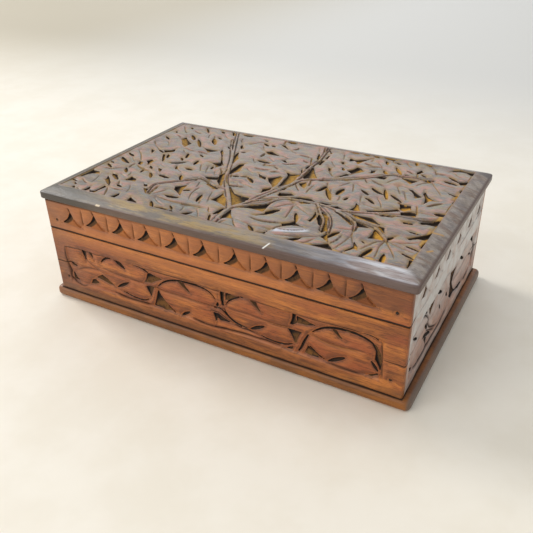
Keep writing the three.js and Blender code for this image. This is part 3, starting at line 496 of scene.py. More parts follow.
FRONT_BOWS = [
    ([(-58, 42.2), (-52, 41.7), (-47.5, 40.2), (-44.4, 38.4)], 1.6),
    ([(-85.2, 35.6), (-82.2, 38.9), (-78.4, 41.2), (-72, 42.2)], 1.6),
    ([(-71, 19.8), (-64, 17.6), (-57, 16.5), (-50, 17.2), (-45, 20.6)], 1.3),
    ([(-39.4, 28.6), (-37.4, 32), (-33, 35.8), (-27.5, 38.6), (-20, 40.3), (-10, 40.7), (-2, 39.8),
      (3, 37.2), (7.4, 31.4)], 1.5),
    ([(-37.8, 26.4), (-33.2, 20.8), (-28.4, 16.6), (-24.6, 14.6)], 1.2),
    ([(0.6, 27.4), (5, 28.9), (9.6, 28.6), (13.6, 25.2), (19, 21.6), (27, 20.2), (34, 20.6)], 1.3),
    ([(34, 19.8), (40, 17.8), (48, 17.4), (54, 18.4), (59, 21)], 1.4),
    ([(11.4, 30.6), (14, 35.4), (18, 38.8), (23, 41.4), (29, 42)], 1.2),
    ([(60.4, 15), (63, 19.6), (65, 25), (68, 31.4)], 1.7),
    ([(68.6, 31.4), (72.4, 35), (78, 38.4), (85, 40.1), (93, 40.4), (101, 38.9), (106, 36.2), (108.8, 32)],
      1.8),
    ([(66.2, 24), (70, 20.9), (74, 18), (79.6, 15.4)], 1.2),
    ([(98, 42.2), (104.5, 42), (109, 39.8)], 1.3),
]
FRONT_LINES = [
    ([(-114.4, 41.2), (-104, 42), (-90, 41.8), (-72, 42.3)], 1.1, 0.7, 0, PLAIN),
    ([(-46, 42), (-20, 42.4), (0, 41.6), (12, 41.6), (30, 42.2), (57, 42)], 1.1, 0.9, 0, PLAIN),
    ([(60, 41.6), (75, 41.8), (92, 42.6), (100, 42.4)], 1.1, 0.7, 0, PLAIN),
    ([(-75, 15.8), (-62, 14.8), (-50, 15.2), (-42, 15.6)], 1.1, 0.7, 0, PLAIN),
    ([(-12, 15.4), (-4, 14.6), (4, 14.6), (14, 15.6), (30, 16.2), (46, 16), (52, 15.4)],
      1.1, 0.8, 0, PLAIN),
    ([(80, 14.9), (92, 14.7), (103, 15)], 1.1, 0.6, 0, PLAIN),
    ([(110.4, 39), (110.9, 32), (111.2, 24), (112.6, 15)], 1.1, 0.7, 0.3, PLAIN),
    ([(-114.6, 40), (-115, 32), (-113.4, 24), (-113.4, 16.4), (-104, 13.4), (-98, 15.4)],
      1.1, 0.6, 0, PLAIN),
    ([(11.4, 29.6), (14.6, 25), (20.4, 21.9), (29, 20.4)], 1.1, 1, 0, PLAIN),
    ([(2, 26), (8, 25.3), (14, 22.2), (20, 20), (30, 19.2), (38, 17.6)], 1.1, 0.8, 0, PLAIN),
    ([(-88, 29), (-98, 28.4), (-108, 24)], 1.2, 0.3, 0.2, VEIN),
    ([(-88, 29), (-96, 34), (-104, 40)], 1.2, 0.3, 0.2, VEIN),
    ([(-50, 29.6), (-62, 30.4), (-75, 31), (-86, 33)], 1.2, 0.35, 0.2, VEIN),
    ([(-38, 28.4), (-20, 28.8), (-2, 28.4)], 1.2, 0.35, 0.2, VEIN),
    ([(56, 30.4), (45, 30), (30, 31), (13, 30.6)], 1.2, 0.35, 0.2, VEIN),
    ([(70, 30.2), (75, 28.6), (83, 27.8), (92, 28.4), (101, 29.8)], 1.7, 0.4, 1, VEIN),
]
RIGHT_SLITS = [
    (-64, 37.5, -53, 30.5, 1.8), (-45.5, 43, -36.5, 37.8, 2.2), (-20, 42, -6, 34.4, 2.3),
    (-11, 28, -6.4, 22.4, 2), (3.4, 28.4, 9.6, 22.4, 2.2), (31.6, 39.6, 46.6, 30.6, 2.1),
    (60, 27.6, 68.4, 23.4, 1.8),
]
RIGHT_GROUNDS = [
    (0.1, [(-36, 42.6), (-33.6, 36), (-31.4, 32.4), (-28, 35.6), (-24.6, 38), (-21, 42.6)]),
    (0.1, [(-39.5, 29.5), (-36, 31.5), (-33.4, 28), (-34, 24.5), (-37, 26)]),
    (0.2, [(-41, 22), (-36, 20.6), (-32.6, 18.6), (-34.6, 14)]),
    (0.2, [(10, 39), (14, 38), (27, 36.6), (20.4, 31), (19.8, 27), (22.6, 21.6), (30, 15.4), (20, 14.6),
           (13.6, 19), (12.4, 26), (11.6, 32)]),
]
RIGHT_BOWS = [
    ([(-69, 32), (-66.5, 36.5), (-62, 39.2), (-56, 40.8), (-48, 41.8), (-42, 41.6)], 3.2),
    ([(-44, 23.6), (-38, 22.4), (-32, 20), (-24, 16.4)], 2.8),
    ([(-22, 42.2), (-12, 42.6), (0, 42.6), (8, 41)], 2.4),
    ([(29, 38.4), (38, 39.6), (50, 40.4), (56, 41.4)], 2.2),
    ([(55.6, 41.6), (61, 39.6), (65.6, 36.6), (69, 32)], 3.2),
    ([(22, 19), (29, 15.6), (38, 13.8), (47, 13.2)], 2.2),
    ([(-67, 18.4), (-63, 15.8), (-59, 13.8)], 2.6),
]
RIGHT_LINES = [
    ([(-42, 25.4), (-34, 23.4), (-26, 18.8), (-18, 15.4)], 1.8, 1.2, 0, PLAIN),
    ([(-45, 40.2), (-38, 36.4), (-34, 31), (-30, 24), (-20, 18), (-12, 15.6)], 1.8, 1.2, 0, PLAIN),
    ([(-58, 13.4), (-44, 12.6), (-30, 12.8), (-12, 12.6), (4, 13.4), (12, 14.6)], 1.6, 1, 0, PLAIN),
    ([(69.6, 31), (70.4, 24), (66, 15.4), (56, 12.8), (47, 12.8)], 1.8, 1.2, 0, PLAIN),
    ([(-40, 30), (-52, 29), (-66, 27)], 1.2, 0.35, 0.2, VEIN),
    ([(-30, 29), (-14, 30.4), (4, 32)], 1.2, 0.35, 0.2, VEIN),
    ([(22, 27), (38, 27.6), (56, 30)], 1.2, 0.35, 0.2, VEIN),
]
# The leaves lie lower than the wall round them: the corners of that panel
FRONT_PANEL = (-114.4, 14.4, 111.4, 42.4)
RIGHT_PANEL = (-70, 12.4, 70.8, 43.2)
# Where two scallops of the lid's band meet, along the wall, and the height of each meeting
FRONT_MEETINGS = [(-104, 68.4), (-83.5, 70.4), (-62, 70.4), (-41.5, 70.4), (-20.8, 70.4), (-0.3, 70.4),
                  (21, 70.4), (41.3, 70.4), (60, 70.2), (79.2, 70.2), (97.7, 69.8)]
RIGHT_MEETINGS = [(-53, 66.4), (-29, 66), (-6, 65.6), (17.5, 65), (44.5, 63.6), (69, 62.4)]
# The outline of a chip and the lines above it and below it, from such a meeting
CHIP = [(0.1, 0.5), (-0.9, -0.8), (-1.9, -2.8), (-3.7, -5), (-6, -6.8), (-9, -8.4), (-3, -8.6), (3, -9),
        (9.2, -9.4), (5.6, -7.2), (3.2, -4.8), (1.8, -2.4), (0.9, -0.4)]
CREST_LINE = [(0.1, 0), (-0.2, 1.8), (-0.8, 3.8)]
FLANK_LINE = [(10.6, -9.8), (6, -7.8), (3, -5), (0.8, -1.4)]
# The vein of a scallop, from its middle and in height
SCALLOP_VEIN = [(-0.4, 61.6), (0, 66.2), (0.4, 73.4)]


# Lines, outlines and distances

def fade(distance, width):
    """1 at no distance, falling to 0 at the width."""
    return np.clip(1 - distance / width, 0, 1)


def smooth(share):
    """A share from 0 to 1 that starts and ends level."""
    return share * share * (3 - 2 * share)


def curve(points, per=8):
    """A smooth line through the points."""
    p = np.asarray(points, float)
    p = np.vstack([2 * p[0] - p[1], p, 2 * p[-1] - p[-2]])
    t = (np.arange(per) / per)[:, None]
    parts = []
    for a, b, c, d in zip(p, p[1:], p[2:], p[3:]):
        bend = (2 * a - 5 * b + 4 * c - d) * t * t + (3 * b - a - 3 * c + d) * t ** 3
        parts.append(0.5 * (2 * b + (c - a) * t + bend))
    return np.vstack(parts + [p[-2:-1]])


def bow_outline(points, width):
    """A slit along a curve, widest in its middle."""
    line = curve(points, 5)
    way = np.gradient(line, axis=0)
    side = np.column_stack([-way[:, 1], way[:, 0]]) / np.hypot(way[:, 0], way[:, 1])[:, None]
    half = 0.5 * width * np.sin(np.pi * np.linspace(0, 1, len(line)))[:, None] ** 0.5
    return np.vstack([line + side * half, (line - side * half)[-2:0:-1]])


def slit_outline(ax, ay, bx, by, width, bow=0):
    """A lens between two tips."""
    a, b = np.array([ax, ay], float), np.array([bx, by], float)
    way = b - a
    side = np.array([-way[1], way[0]]) / np.hypot(*way)
    t = np.linspace(0, 1, 13)[:, None]
    middle = a + way * t + side * bow * 4 * t * (1 - t)
    half = 0.5 * SLIT_FULLNESS * width * np.sin(np.pi * t) ** 0.7
    return np.vstack([middle + side * half, (middle - side * half)[-2:0:-1]])


def ground_outline(corners, draw_in=0.035):
    """A closed outline whose sides curve in."""
    p = np.asarray(corners, float)
    q = np.roll(p, -1, 0)
    turn = np.sign(np.sum(p[:, 0] * q[:, 1] - q[:, 0] * p[:, 1]))
    t = np.linspace(0, 1, 6, endpoint=False)[:, None]
    parts = []
    for a, way in zip(p, q - p):
        side = turn * np.array([-way[1], way[0]])
        parts.append(a + way * t + side * draw_in * 4 * t * (1 - t))
    return np.vstack(parts)


def sloped(outline, least, towards):
    """The share of the depth in a pocket: deepest towards a direction, or on a long side if slender."""
    middle = outline.mean(0)
    spread, axes = np.linalg.eigh(np.cov((outline - middle).T))
    across = axes[:, 0] if spread[0] < SLENDER * spread[1] else np.array(towards, float)
    across = across / np.hypot(*across)
    across = across * (1 if across @ towards > 0 else -1)
    reach = (outline - middle) @ across
    low, high = reach.min(), reach.max()

    def depth(at):
        risen = ((at - middle) @ across - low) / (SLOPE_SHARE * (high - low))
        return least + (1 - least) * np.clip(risen, 0, 1)

    return depth


def nearest_on(line, at):
    """How far each point is from a line, the nearest point on it, and how far along the line that lies."""
    least = np.full(at.shape[:2], np.inf)
    foot = at.copy()
    along = np.zeros(at.shape[:2])
    for i, (a, way) in enumerate(zip(line, line[1:] - line[:-1])):
        t = np.clip(((at - a) @ way) / (way @ way), 0, 1)
        p = a + t[..., None] * way
        far = np.hypot(at[..., 0] - p[..., 0], at[..., 1] - p[..., 1])
        nearer = far < least
        least[nearer] = far[nearer]
        foot[nearer] = p[nearer]
        along[nearer] = i + t[nearer]
    return least, foot, along / (len(line) - 1)


def inside(outline, at):
    """True for the points inside a closed outline."""
    u, v = at[..., 0], at[..., 1]
    odd = np.zeros(u.shape, bool)
    for (ax, ay), (bx, by) in zip(outline, np.roll(outline, -1, 0)):
        if ay != by:
            odd ^= ((ay > v) != (by > v)) & (u < ax + (v - ay) * (bx - ax) / (by - ay))
    return odd


def smooth_noise(at, pitch, rng):
    """Smooth random numbers from -1 to 1, that change over about the pitch."""
    low = at.reshape(-1, 2).min(0)
    cells = np.ceil((at.reshape(-1, 2).max(0) - low) / pitch).astype(int) + 2
    values = rng.uniform(-1, 1, cells)
    where = (at - low) / pitch
    cell = np.floor(where).astype(int)
    f = smooth(where - cell)
    i, j = cell[..., 0], cell[..., 1]
    near = values[i, j] * (1 - f[..., 1]) + values[i, j + 1] * f[..., 1]
    far = values[i + 1, j] * (1 - f[..., 1]) + values[i + 1, j + 1] * f[..., 1]
    return near * (1 - f[..., 0]) + far * f[..., 0]


# Carving

class Face:
    """A grid of points on a carved surface, and what the carving does to each."""

    def __init__(self, us, vs, step):
        self.us, self.vs, self.step = us, vs, step
        self.at = np.stack(np.meshgrid(us, vs, indexing="ij"), -1)
        shape = self.at.shape[:2]
        # How far inside a pocket, a stem or the panel each point lies, less than nothing outside
        self.pocket, self.stem, self.panel = (np.full(shape, -REACH) for _ in range(3))
        self.pocket_edge, self.stem_edge, self.line_foot = (self.at.copy() for _ in range(3))
        self.crown, self.deep, self.line_half = (np.ones(shape) for _ in range(3))
        self.gilt, self.line_gilt, self.line_deep, self.ledge = (np.zeros(shape) for _ in range(4))
        # How far each point is from the nearest groove and from the nearest vein
        self.line, self.fold = (np.full(shape, REACH) for _ in range(2))

    def window(self, points):
        """The part of the grid that the points, or what is near them, can touch."""
        low, high = points.min(0) - REACH, points.max(0) + REACH
        i = slice(*np.searchsorted(self.us, (low[0], high[0])))
        j = slice(*np.searchsorted(self.vs, (low[1], high[1])))
        return i, j

    def write(self, window, where, **values):
        """Writes new values into a part of the grid, at the points where a condition holds."""
        for name, value in values.items():
            old = getattr(self, name)[window]
            getattr(self, name)[window] = np.where(where[..., None] if old.ndim == 3 else where, value, old)

    def cut_pocket(self, outline, gilt, deep):
        """Cuts an outline out. Its share of the depth is a number, or a function of the points."""
        w = self.window(outline)
        at = self.at[w]
        if not at.size:
            return
        far, foot, _ = nearest_on(np.vstack([outline, outline[:1]]), at)
        signed = np.where(inside(outline, at), far, -far)
        share = deep(at) if callable(deep) else deep
        self.write(w, signed > self.pocket[w], pocket=signed, pocket_edge=foot, gilt=gilt, deep=share)

    def leave_stem(self, points, start, end):
        """Leaves a line standing, of that width at its start and end."""
        line = curve(points)
        w = self.window(line)
        far, foot, along = nearest_on(line, self.at[w])
        half = 0.5 * (start + (end - start) * along)
        out = (self.at[w] - foot) / np.maximum(far, TINY)[..., None]
        self.write(w, half - far > self.stem[w], stem=half - far, stem_edge=foot + out * half[..., None],
                   crown=far / half)

    def cut_line(self, points, width, deep, gilt, kind):
        """Cuts a V groove that runs out at its end."""
        line = curve(points)
        w = self.window(line)
        at = self.at[w]
        if not at.size:
            return
        far, foot, along = nearest_on(line, at)
        half = 0.5 * width
        depth = deep * np.clip(4 * (1 - along), 0, 1) * np.clip(0.4 + 6 * along, 0, 1)
        nearer = far - half < self.line[w] - self.line_half[w]
        self.write(w, nearer, line=far, line_foot=foot, line_half=half, line_deep=depth, line_gilt=gilt)
        if kind == VEIN:
            self.fold[w] = np.minimum(self.fold[w], far + FOLD_NARROWS * along)
        if kind == EDGE:
            way = (line[1:] - line[:-1])[np.minimum((along * (len(line) - 1)).astype(int), len(line) - 2)]
            out = at - foot
            right = way[..., 0] * out[..., 1] - way[..., 1] * out[..., 0] < 0
            fall = fade(far, LEDGE_WIDTH) * np.sin(np.pi * np.clip(along, 0.03, 0.97)) ** 0.5
            self.ledge[w] = np.maximum(self.ledge[w], right * fall)

    def settle(self, free):
        """Moves free points near an edge or a groove onto it, and returns how all points then lie to them."""
        # How far inside a cut each point lies: in a pocket, but not in a stem
        cut = np.minimum(self.pocket, -self.stem)
        by_stem = (-self.stem <= self.pocket)[..., None]
        edge = np.where(by_stem, self.stem_edge, self.pocket_edge)
        away = self.at - edge
        away /= np.maximum(np.hypot(away[..., 0], away[..., 1]), TINY)[..., None]
        away *= np.where(cut < 0, -1, 1)[..., None]
        snap = SNAP * self.step
        on_edge = free & (np.abs(cut) < snap)
        on_foot = free & ~on_edge & (np.abs(cut - WALL) < WALL - snap + 0.12)
        beside = free & ~on_edge & ~on_foot & (np.abs(self.stem) < snap) & (self.pocket < -WALL)
        on_line = free & (self.line < snap) & (cut < -snap) & ~beside
        moves = [(on_edge, edge), (on_foot, edge + away * WALL), (beside, self.stem_edge),
                 (on_line, self.line_foot)]
        for where, place in moves:
            self.at = np.where(where[..., None], place, self.at)
        cut = np.where(on_edge, 0, np.where(on_foot, WALL, cut))
        stem = np.where(beside, 0, self.stem)
        line = np.where(on_line, 0, self.line)
        return cut, stem, line

    def carve(self, depth, fixed, seed):
        """Settles the points and returns the height of each, at most 0, and its paint."""
        rng = np.random.default_rng(seed)
        cut, stem, line = self.settle(~fixed)
        wave = sum(size * smooth_noise(self.at, pitch, rng) for pitch, size in UNEVENNESS) - SUNK
        in_line = fade(line, np.maximum(self.line_half, self.step))
        moat = fade(-stem, MOAT_WIDTH * self.step) * (self.pocket < 0)
        groove = self.line_deep * in_line
        rounding = EDGE_DROP * fade(-self.pocket, EDGE_WIDTH) ** 2
        fold = FOLD_DEPTH * fade(self.fold, FOLD_WIDTH) ** 2
        dome = DOME_DROP * fade(-self.pocket, DOME_WIDTH) ** 1.5
        leaf = wave - rounding - fold - groove - dome - LEDGE_DROP * self.ledge
        standing = -SUNK - STEM_CROWN * self.crown ** 2 - groove
        top = np.where(stem > 0, standing, leaf - MOAT_DEPTH * moat)
        floor = -self.deep * (depth * (1 - FLOOR_RISE + FLOOR_RISE * np.clip(cut / FLOOR_WIDTH, 0, 1)))
        floor -= STIPPLE * self.deep * (0.5 + 0.5 * smooth_noise(self.at, STIPPLE_PITCH, rng))
        share = np.clip(cut / WALL, 0, 1)
        height = np.minimum(top * (1 - share) + floor * share, 0)

        # Which way the wood tilts against the light, for painted light and shade
        slope_u, slope_v = np.gradient(np.where(cut < 0, top, 0), self.us, self.vs)
        tilt = TILT * (WALL_SLOPE[0] * slope_u + WALL_SLOPE[1] * slope_v)
        in_line = in_line * (cut < 0)
        dark_line = in_line * np.clip(1.4 * self.line_deep, 0, 1)
        # The dark in the grooves and beside the stems is painted shade
        paint = {
            "cut": share,
            "shade": self.deep * (cut > -SNAP * self.step),
            "gilt": self.gilt * share + self.line_gilt * in_line * (1 - share),
            "groove": np.maximum(dark_line, MOAT_DARK * moat * (stem <= 0)),
            "edge_wear_and_highlight": fade(np.abs(cut), ARRIS_WIDTH) * (share < 0.5),
            "tilt": np.clip(tilt, -0.5, 0.5) * (cut < 0),
            "near": fade(-cut, NEAR_WIDTH),
        }
        return height, paint


# Meshes

def split_quads(height):
    """Two triangles for each cell of a grid, along the diagonal whose ends are nearest in height."""
    rows, columns = height.shape
    index = np.arange(rows * columns).reshape(rows, columns)
    a, b, c, d = index[:-1, :-1], index[1:, :-1], index[1:, 1:], index[:-1, 1:]
    first = np.abs(height[:-1, :-1] - height[1:, 1:]) <= np.abs(height[1:, :-1] - height[:-1, 1:])
    one = np.where(first[..., None], np.stack([a, b, c], -1), np.stack([a, b, d], -1))
    two = np.where(first[..., None], np.stack([a, c, d], -1), np.stack([b, c, d], -1))
    return np.concatenate([one.reshape(-1, 3), two.reshape(-1, 3)]).tolist()


def add_piece(name, points, faces, body, material, paint):
    """A mesh of points in millimetres that rides on a body. The first points carry the paint."""
    mesh = bpy.data.meshes.new(name)
    mesh.from_pydata((np.asarray(points) * MM).tolist(), [], faces)
    for key, values in paint.items():
        attribute = mesh.attributes.new(key, "FLOAT", "POINT")
        full = np.zeros(len(mesh.vertices), np.float32)
        full[: values.size] = values.ravel()
        attribute.data.foreach_set("value", full)
    mesh.shade_smooth()
    mesh.set_sharp_from_angle(angle=CREASE)
    mesh.materials.append(material)
    piece = bpy.data.objects.new(name, mesh)
    bpy.context.scene.collection.objects.link(piece)
    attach(piece, body)
    return piece


def border_lines(half, insets, step):
    """Grid lines over a width: the insets at both ends and even steps between."""
    inner = half - insets[-1]
    middle = np.linspace(-inner, inner, round(2 * inner / step) + 1)
    outer = half - np.array(insets[:-1])
    return np.concatenate([-outer, middle, outer[::-1]])


def round_corners(at, half, radius):
    """Bends the corners of a rectangle of points into arcs."""
    beyond = np.clip((np.abs(at) - (half - radius)) / radius, 0, None)
    both = (beyond > 0).all(-1, keepdims=True)
    scale = beyond.max(-1, keepdims=True) / np.maximum(np.hypot(beyond[..., :1], beyond[..., 1:]), TINY)
    bent = np.sign(at) * (half - radius + beyond * scale * radius)
    return np.where(both, bent, at)


def slab(lines, at, height, half, radius, rings):
    """A board: its top surface, a rim that goes down through the rings (inset, z) and a flat underside."""
    columns, rows = height.shape
    top = np.concatenate([round_corners(at, half, radius), height[..., None]], -1).reshape(-1, 3)
    index = np.arange(columns * rows).reshape(columns, rows)
    loop = np.concatenate([index[:-1, 0], index[-1, :-1], index[:0:-1, -1], index[0, :0:-1]])
    square = np.stack(np.meshgrid(*lines, indexing="ij"), -1).reshape(-1, 2)[loop]
    straight = np.minimum(np.abs(square), half - radius)
    beyond = np.clip(np.abs(square) - (half - radius), 0, None)
    points = [top]
    faces = split_quads(height)
    above = loop
    for inset, z in rings:
        pulled = np.sign(square) * (straight + beyond * (radius - inset) / radius)
        ring = round_corners(pulled, half - inset, radius - inset)
        below = len(top) + (len(points) - 1) * len(loop) + np.arange(len(loop))
        points.append(np.column_stack([ring, np.full(len(loop), z)]))
        sides = np.column_stack([above, below, np.roll(below, -1), np.roll(above, -1)])
        faces += sides.tolist()
        above = below
    faces.append(above[::-1].tolist())
    return np.vstack(points), faces


def round_under(radius, bottom, steps):
    """The rings (inset, z) of a quarter round, from its upright side in to the underside."""
    angles = np.linspace(0, math.pi / 2, steps + 1)
    return [(radius * (1 - math.cos(a)), bottom + radius * (1 - math.sin(a))) for a in angles]


# Materials

def srgb(red, green, blue):
    """A colour of 0 to 255 as Blender's linear one."""
    shares = (red / 255, green / 255, blue / 255)
    return (*(c / 12.92 if c <= 0.04045 else ((c + 0.055) / 1.055) ** 2.4 for c in shares), 1.0)


class Shader:
    """A material whose nodes are added in few words. Places and pitches are in millimetres."""

    def __init__(self, name):
        self.material = bpy.data.materials.new(name)
        self.material.use_nodes = True
        self.nodes = self.material.node_tree.nodes
        self.nodes.clear()
        self.surface = self.nodes.new("ShaderNodeBsdfPrincipled")
        out = self.nodes.new("ShaderNodeOutputMaterial")
        self.put(self.surface.outputs["BSDF"], out.inputs["Surface"])
        self.place = self.nodes.new("ShaderNodeTexCoord").outputs["Object"]

    def put(self, value, socket):
        """A number, or the output of another node, into a socket."""
        if isinstance(value, bpy.types.NodeSocket):
            self.material.node_tree.links.new(value, socket)
        else:
            socket.default_value = value

    def set(self, **values):
        for key, value in values.items():
            self.put(value, self.surface.inputs[key.replace("_", " ")])

    def number(self, operation, a, b=0.0):
        node = self.nodes.new("ShaderNodeMath")
        node.operation = operation
        self.put(a, node.inputs[0])
        self.put(b, node.inputs[1])
        return node.outputs[0]

    def add(self, a, b):
        return self.number("ADD", a, b)

    def times(self, a, b):
        return self.number("MULTIPLY", a, b)

    def fit(self, value, low, high, to_low=0.0, to_high=1.0):
        """The value's way from low to high, as a soft step from to_low to to_high."""
        node = self.nodes.new("ShaderNodeMapRange")
        node.interpolation_type = "SMOOTHSTEP"
        for socket, number in zip(node.inputs, (value, low, high, to_low, to_high)):
            self.put(number, socket)
        return node.outputs[0]

    def noise(self, pitch, detail=3.0, roughness=0.55, shift=(0, 0, 0)):
        """Noise from 0 to 1 that changes over about the pitch, one for each axis."""
        mapping = self.nodes.new("ShaderNodeMapping")
        self.put(self.place, mapping.inputs["Vector"])
        mapping.inputs["Location"].default_value = shift
        mapping.inputs["Scale"].default_value = [1 / (p * MM) for p in pitch]
        node = self.nodes.new("ShaderNodeTexNoise")
        self.put(mapping.outputs[0], node.inputs["Vector"])
        for name, value in (("Scale", 1.0), ("Detail", detail), ("Roughness", roughness)):
            self.put(value, node.inputs[name])
        return node.outputs["Fac"]

    def attributes(self, *names):
        """What the carving painted on the points, by name."""
        nodes = [self.nodes.new("ShaderNodeAttribute") for _ in names]
        for node, name in zip(nodes, names):
            node.attribute_name = name
        return [node.outputs["Fac"] for node in nodes]

    def axes(self):
        """Where each point lies in x, y and z, in millimetres."""
        node = self.nodes.new("ShaderNodeSeparateXYZ")
        self.put(self.place, node.inputs[0])
        return [self.times(output, 1 / MM) for output in node.outputs]

    def blend(self, share, a, b):
        """From a to b by the share. A colour is an output of a node, or red, green and blue."""
        node = self.nodes.new("ShaderNodeMix")
        node.data_type = "RGBA"
        self.put(share, node.inputs["Factor"])
        for colour, socket in ((a, node.inputs[6]), (b, node.inputs[7])):
            self.put(srgb(*colour) if isinstance(colour, tuple) else colour, socket)
        return node.outputs[2]

    def coats(self, colour, *coats):
        """A colour under coats of others, each with its share."""
        for share, coat in coats:
            colour = self.blend(share, colour, coat)
        return colour

    def bump(self, height, distance, normal=None):
        node = self.nodes.new("ShaderNodeBump")
        node.inputs["Distance"].default_value = distance * MM
        self.put(height, node.inputs["Height"])
        if normal:
            self.put(normal, node.inputs["Normal"])
        return node.outputs[0]


def grained(along, across, axis=0):
    """A pitch along the grain and across it, for boards whose grain runs along that axis."""
    return [along if i == axis else across for i in range(3)]


def pocket_colour(s, top, wall, soil_and_shade, gold, place=(0, 0, 0)):
    """A surface that turns dark with painted shade on its way down into a pocket, and the pocket's floor of
    soil and gold, darker still with painted shade where it lies deep.
    """
    cut, gilt, shade = s.attributes("cut", "gilt", "shade")
    mottle = s.noise((2.4, 2.4, 2.4), 4, 0.7, place)
    golden = s.times(gilt, s.fit(mottle, 0.34, 0.54, 0.3, 1.0))
    # Painted shade: the deep floor keeps less gold, turns to the dark wall colour along the deep flank, and
    # the sides darken as they go deep
    out_of_shade = s.fit(s.fit(shade, 0.62, 0.98), 0.0, 1.0, 1.0, 0.25)
    floor = s.blend(s.times(golden, out_of_shade), soil_and_shade, gold)
    floor = s.blend(s.fit(shade, 0.76, 0.92), floor, wall)
    side = s.blend(s.fit(shade, 0.35, 0.7), gold, wall)
    lower = s.blend(s.fit(cut, 0.7, 1.0), side, floor)
    return s.blend(s.times(s.fit(cut, 0.04, 0.3), s.fit(shade, 0.08, 0.4)), top, lower)


def matt_in_cuts(s, pores, smooth_share, rough_share):
    """A roughness that rises in the pores and in the dirt of the cuts."""
    dirt = s.number("MAXIMUM", *s.attributes("cut", "groove"))
    return s.fit(s.add(s.times(pores, 0.5), s.times(dirt, 0.6)), 0.1, 0.9, smooth_share, rough_share)


def mark(s, x, y, at, turn, length, width):
    """1 on a short straight mark, 0 away from it."""
    c, n = math.cos(math.radians(turn)), math.sin(math.radians(turn))
    dx, dy = s.add(x, -at[0]), s.add(y, -at[1])
    along = s.number("ABSOLUTE", s.add(s.times(dx, c), s.times(dy, n)))
    across = s.number("ABSOLUTE", s.add(s.times(dy, c), s.times(dx, -n)))
    return s.times(s.fit(along, 0.3 * length, 0.5 * length, 1.0, 0.0),
                   s.fit(across, 0.2 * width, 0.5 * width, 1.0, 0.0))


def lid_leaves(s, tone, pores, dust, film):
    """The lid's field: grey, painted rosy where it tilts away from the light and painted grey sheen where it
    tilts towards it, ochre beside the pockets.
    """
    near, tilt = s.attributes("near", "tilt")
    patches = s.noise((16, 12, 12), 3, 0.6)
    # painted shade: rosy on the facets that tilt away from the light
    rosy_away_from_light = s.times(s.fit(tilt, -0.1, 0.16), s.fit(patches, 0.4, 0.58, 0.15, 0.9))
    return s.coats(
        s.blend(s.fit(tone, 0.35, 0.65), (100, 92, 88), (136, 124, 116)),
        (rosy_away_from_light, (172, 128, 116)),
        # painted sheen: grey on the facets that tilt towards the light
        (s.fit(tilt, -0.22, -0.02, 0.7, 0.0), (112, 114, 108)),
        (s.fit(film, 0.5, 0.68, 0.0, 0.55), (136, 122, 74)),
        (s.fit(pores, 0.5, 0.72, 0.0, 0.5), (80, 64, 52)),
        (s.fit(dust, 0.5, 0.7, 0.0, 0.7), (170, 142, 82)),
        (s.times(near, s.fit(film, 0.4, 0.6, 0.05, 0.8)), (142, 106, 52)),
    )


def lid_border(s, x, y, z, tone, pores, film):
    """The lid's border, rim and underside: brown with ochre at the left, with a painted cool sheen and a
    painted highlight at the right.
    """
    from_left = s.fit(x, -20.0, 100.0)
    right_side = s.fit(s.add(x, y), 42.0, 52.0)
    # painted sheen: cool grey on the front bevel, brightening towards the right
    cool_sheen = s.blend(s.fit(tone, 0.38, 0.62), (104, 104, 110), (154, 154, 162))
    cool_sheen = s.blend(s.fit(x, 76.0, 108.0, 0.0, 0.9), cool_sheen, (206, 206, 212))
    dull = s.blend(s.fit(film, 0.36, 0.64), (118, 108, 104), (154, 144, 136))
    left_end = s.fit(x, -104.0, -56.0, 1.0, 0.0)
    left_wood = s.blend(s.fit(tone, 0.35, 0.65), (50, 44, 34), (84, 72, 52))
    upper = s.fit(z, LID_EDGE_TOP - 0.2, LID_EDGE_TOP + 0.8)
    worn = s.fit(s.noise((26, 5, 5), 4, 0.7), 0.42, 0.6)
    ochre = s.times(s.times(worn, s.fit(from_left, 0.0, 0.9, 0.85, 0.12)), upper)
    stain = s.fit(s.noise((34, 6, 6), 3, 0.6, (2, 9, 4)), 0.5, 0.66, 0.0, 0.6)
    # painted highlight along the bevel's lower edge near the front-right corner
    corner_highlight = s.times(s.fit(x, 70.0, 118.0, 0.0, 0.8), s.fit(y, -76.0, -78.4))
    corner_highlight = s.times(corner_highlight, s.fit(s.noise((9, 1.6, 1.6), 3, 0.6, (1, 4, 2)), 0.4, 0.6))
    rim = s.times(s.fit(upper, 0.0, 1.0, 1.0, 0.0), s.fit(x, -110.0, 60.0, 0.6, 0.93))
    underside = s.fit(z, LID_UNDERSIDE + 0.1, LID_UNDERSIDE + 0.5, 1.0, 0.0)
    return s.coats(
        s.blend(s.fit(tone, 0.35, 0.65), (96, 86, 76), (138, 124, 106)),
        (from_left, s.blend(right_side, cool_sheen, dull)),
        (ochre, (162, 134, 76)),
        (stain, (112, 78, 52)),
        (left_end, left_wood),
        (corner_highlight, (182, 184, 194)),
        (rim, s.blend(left_end, (90, 66, 56), (70, 64, 58))),
        (s.fit(pores, 0.5, 0.72, 0.0, 0.5), (58, 46, 38)),
        (s.fit(y, 66.0, 72.0, 0.0, 0.7), (92, 84, 82)),
        (underside, s.blend(s.fit(tone, 0.35, 0.65), (92, 56, 32), (136, 88, 50))),
    )


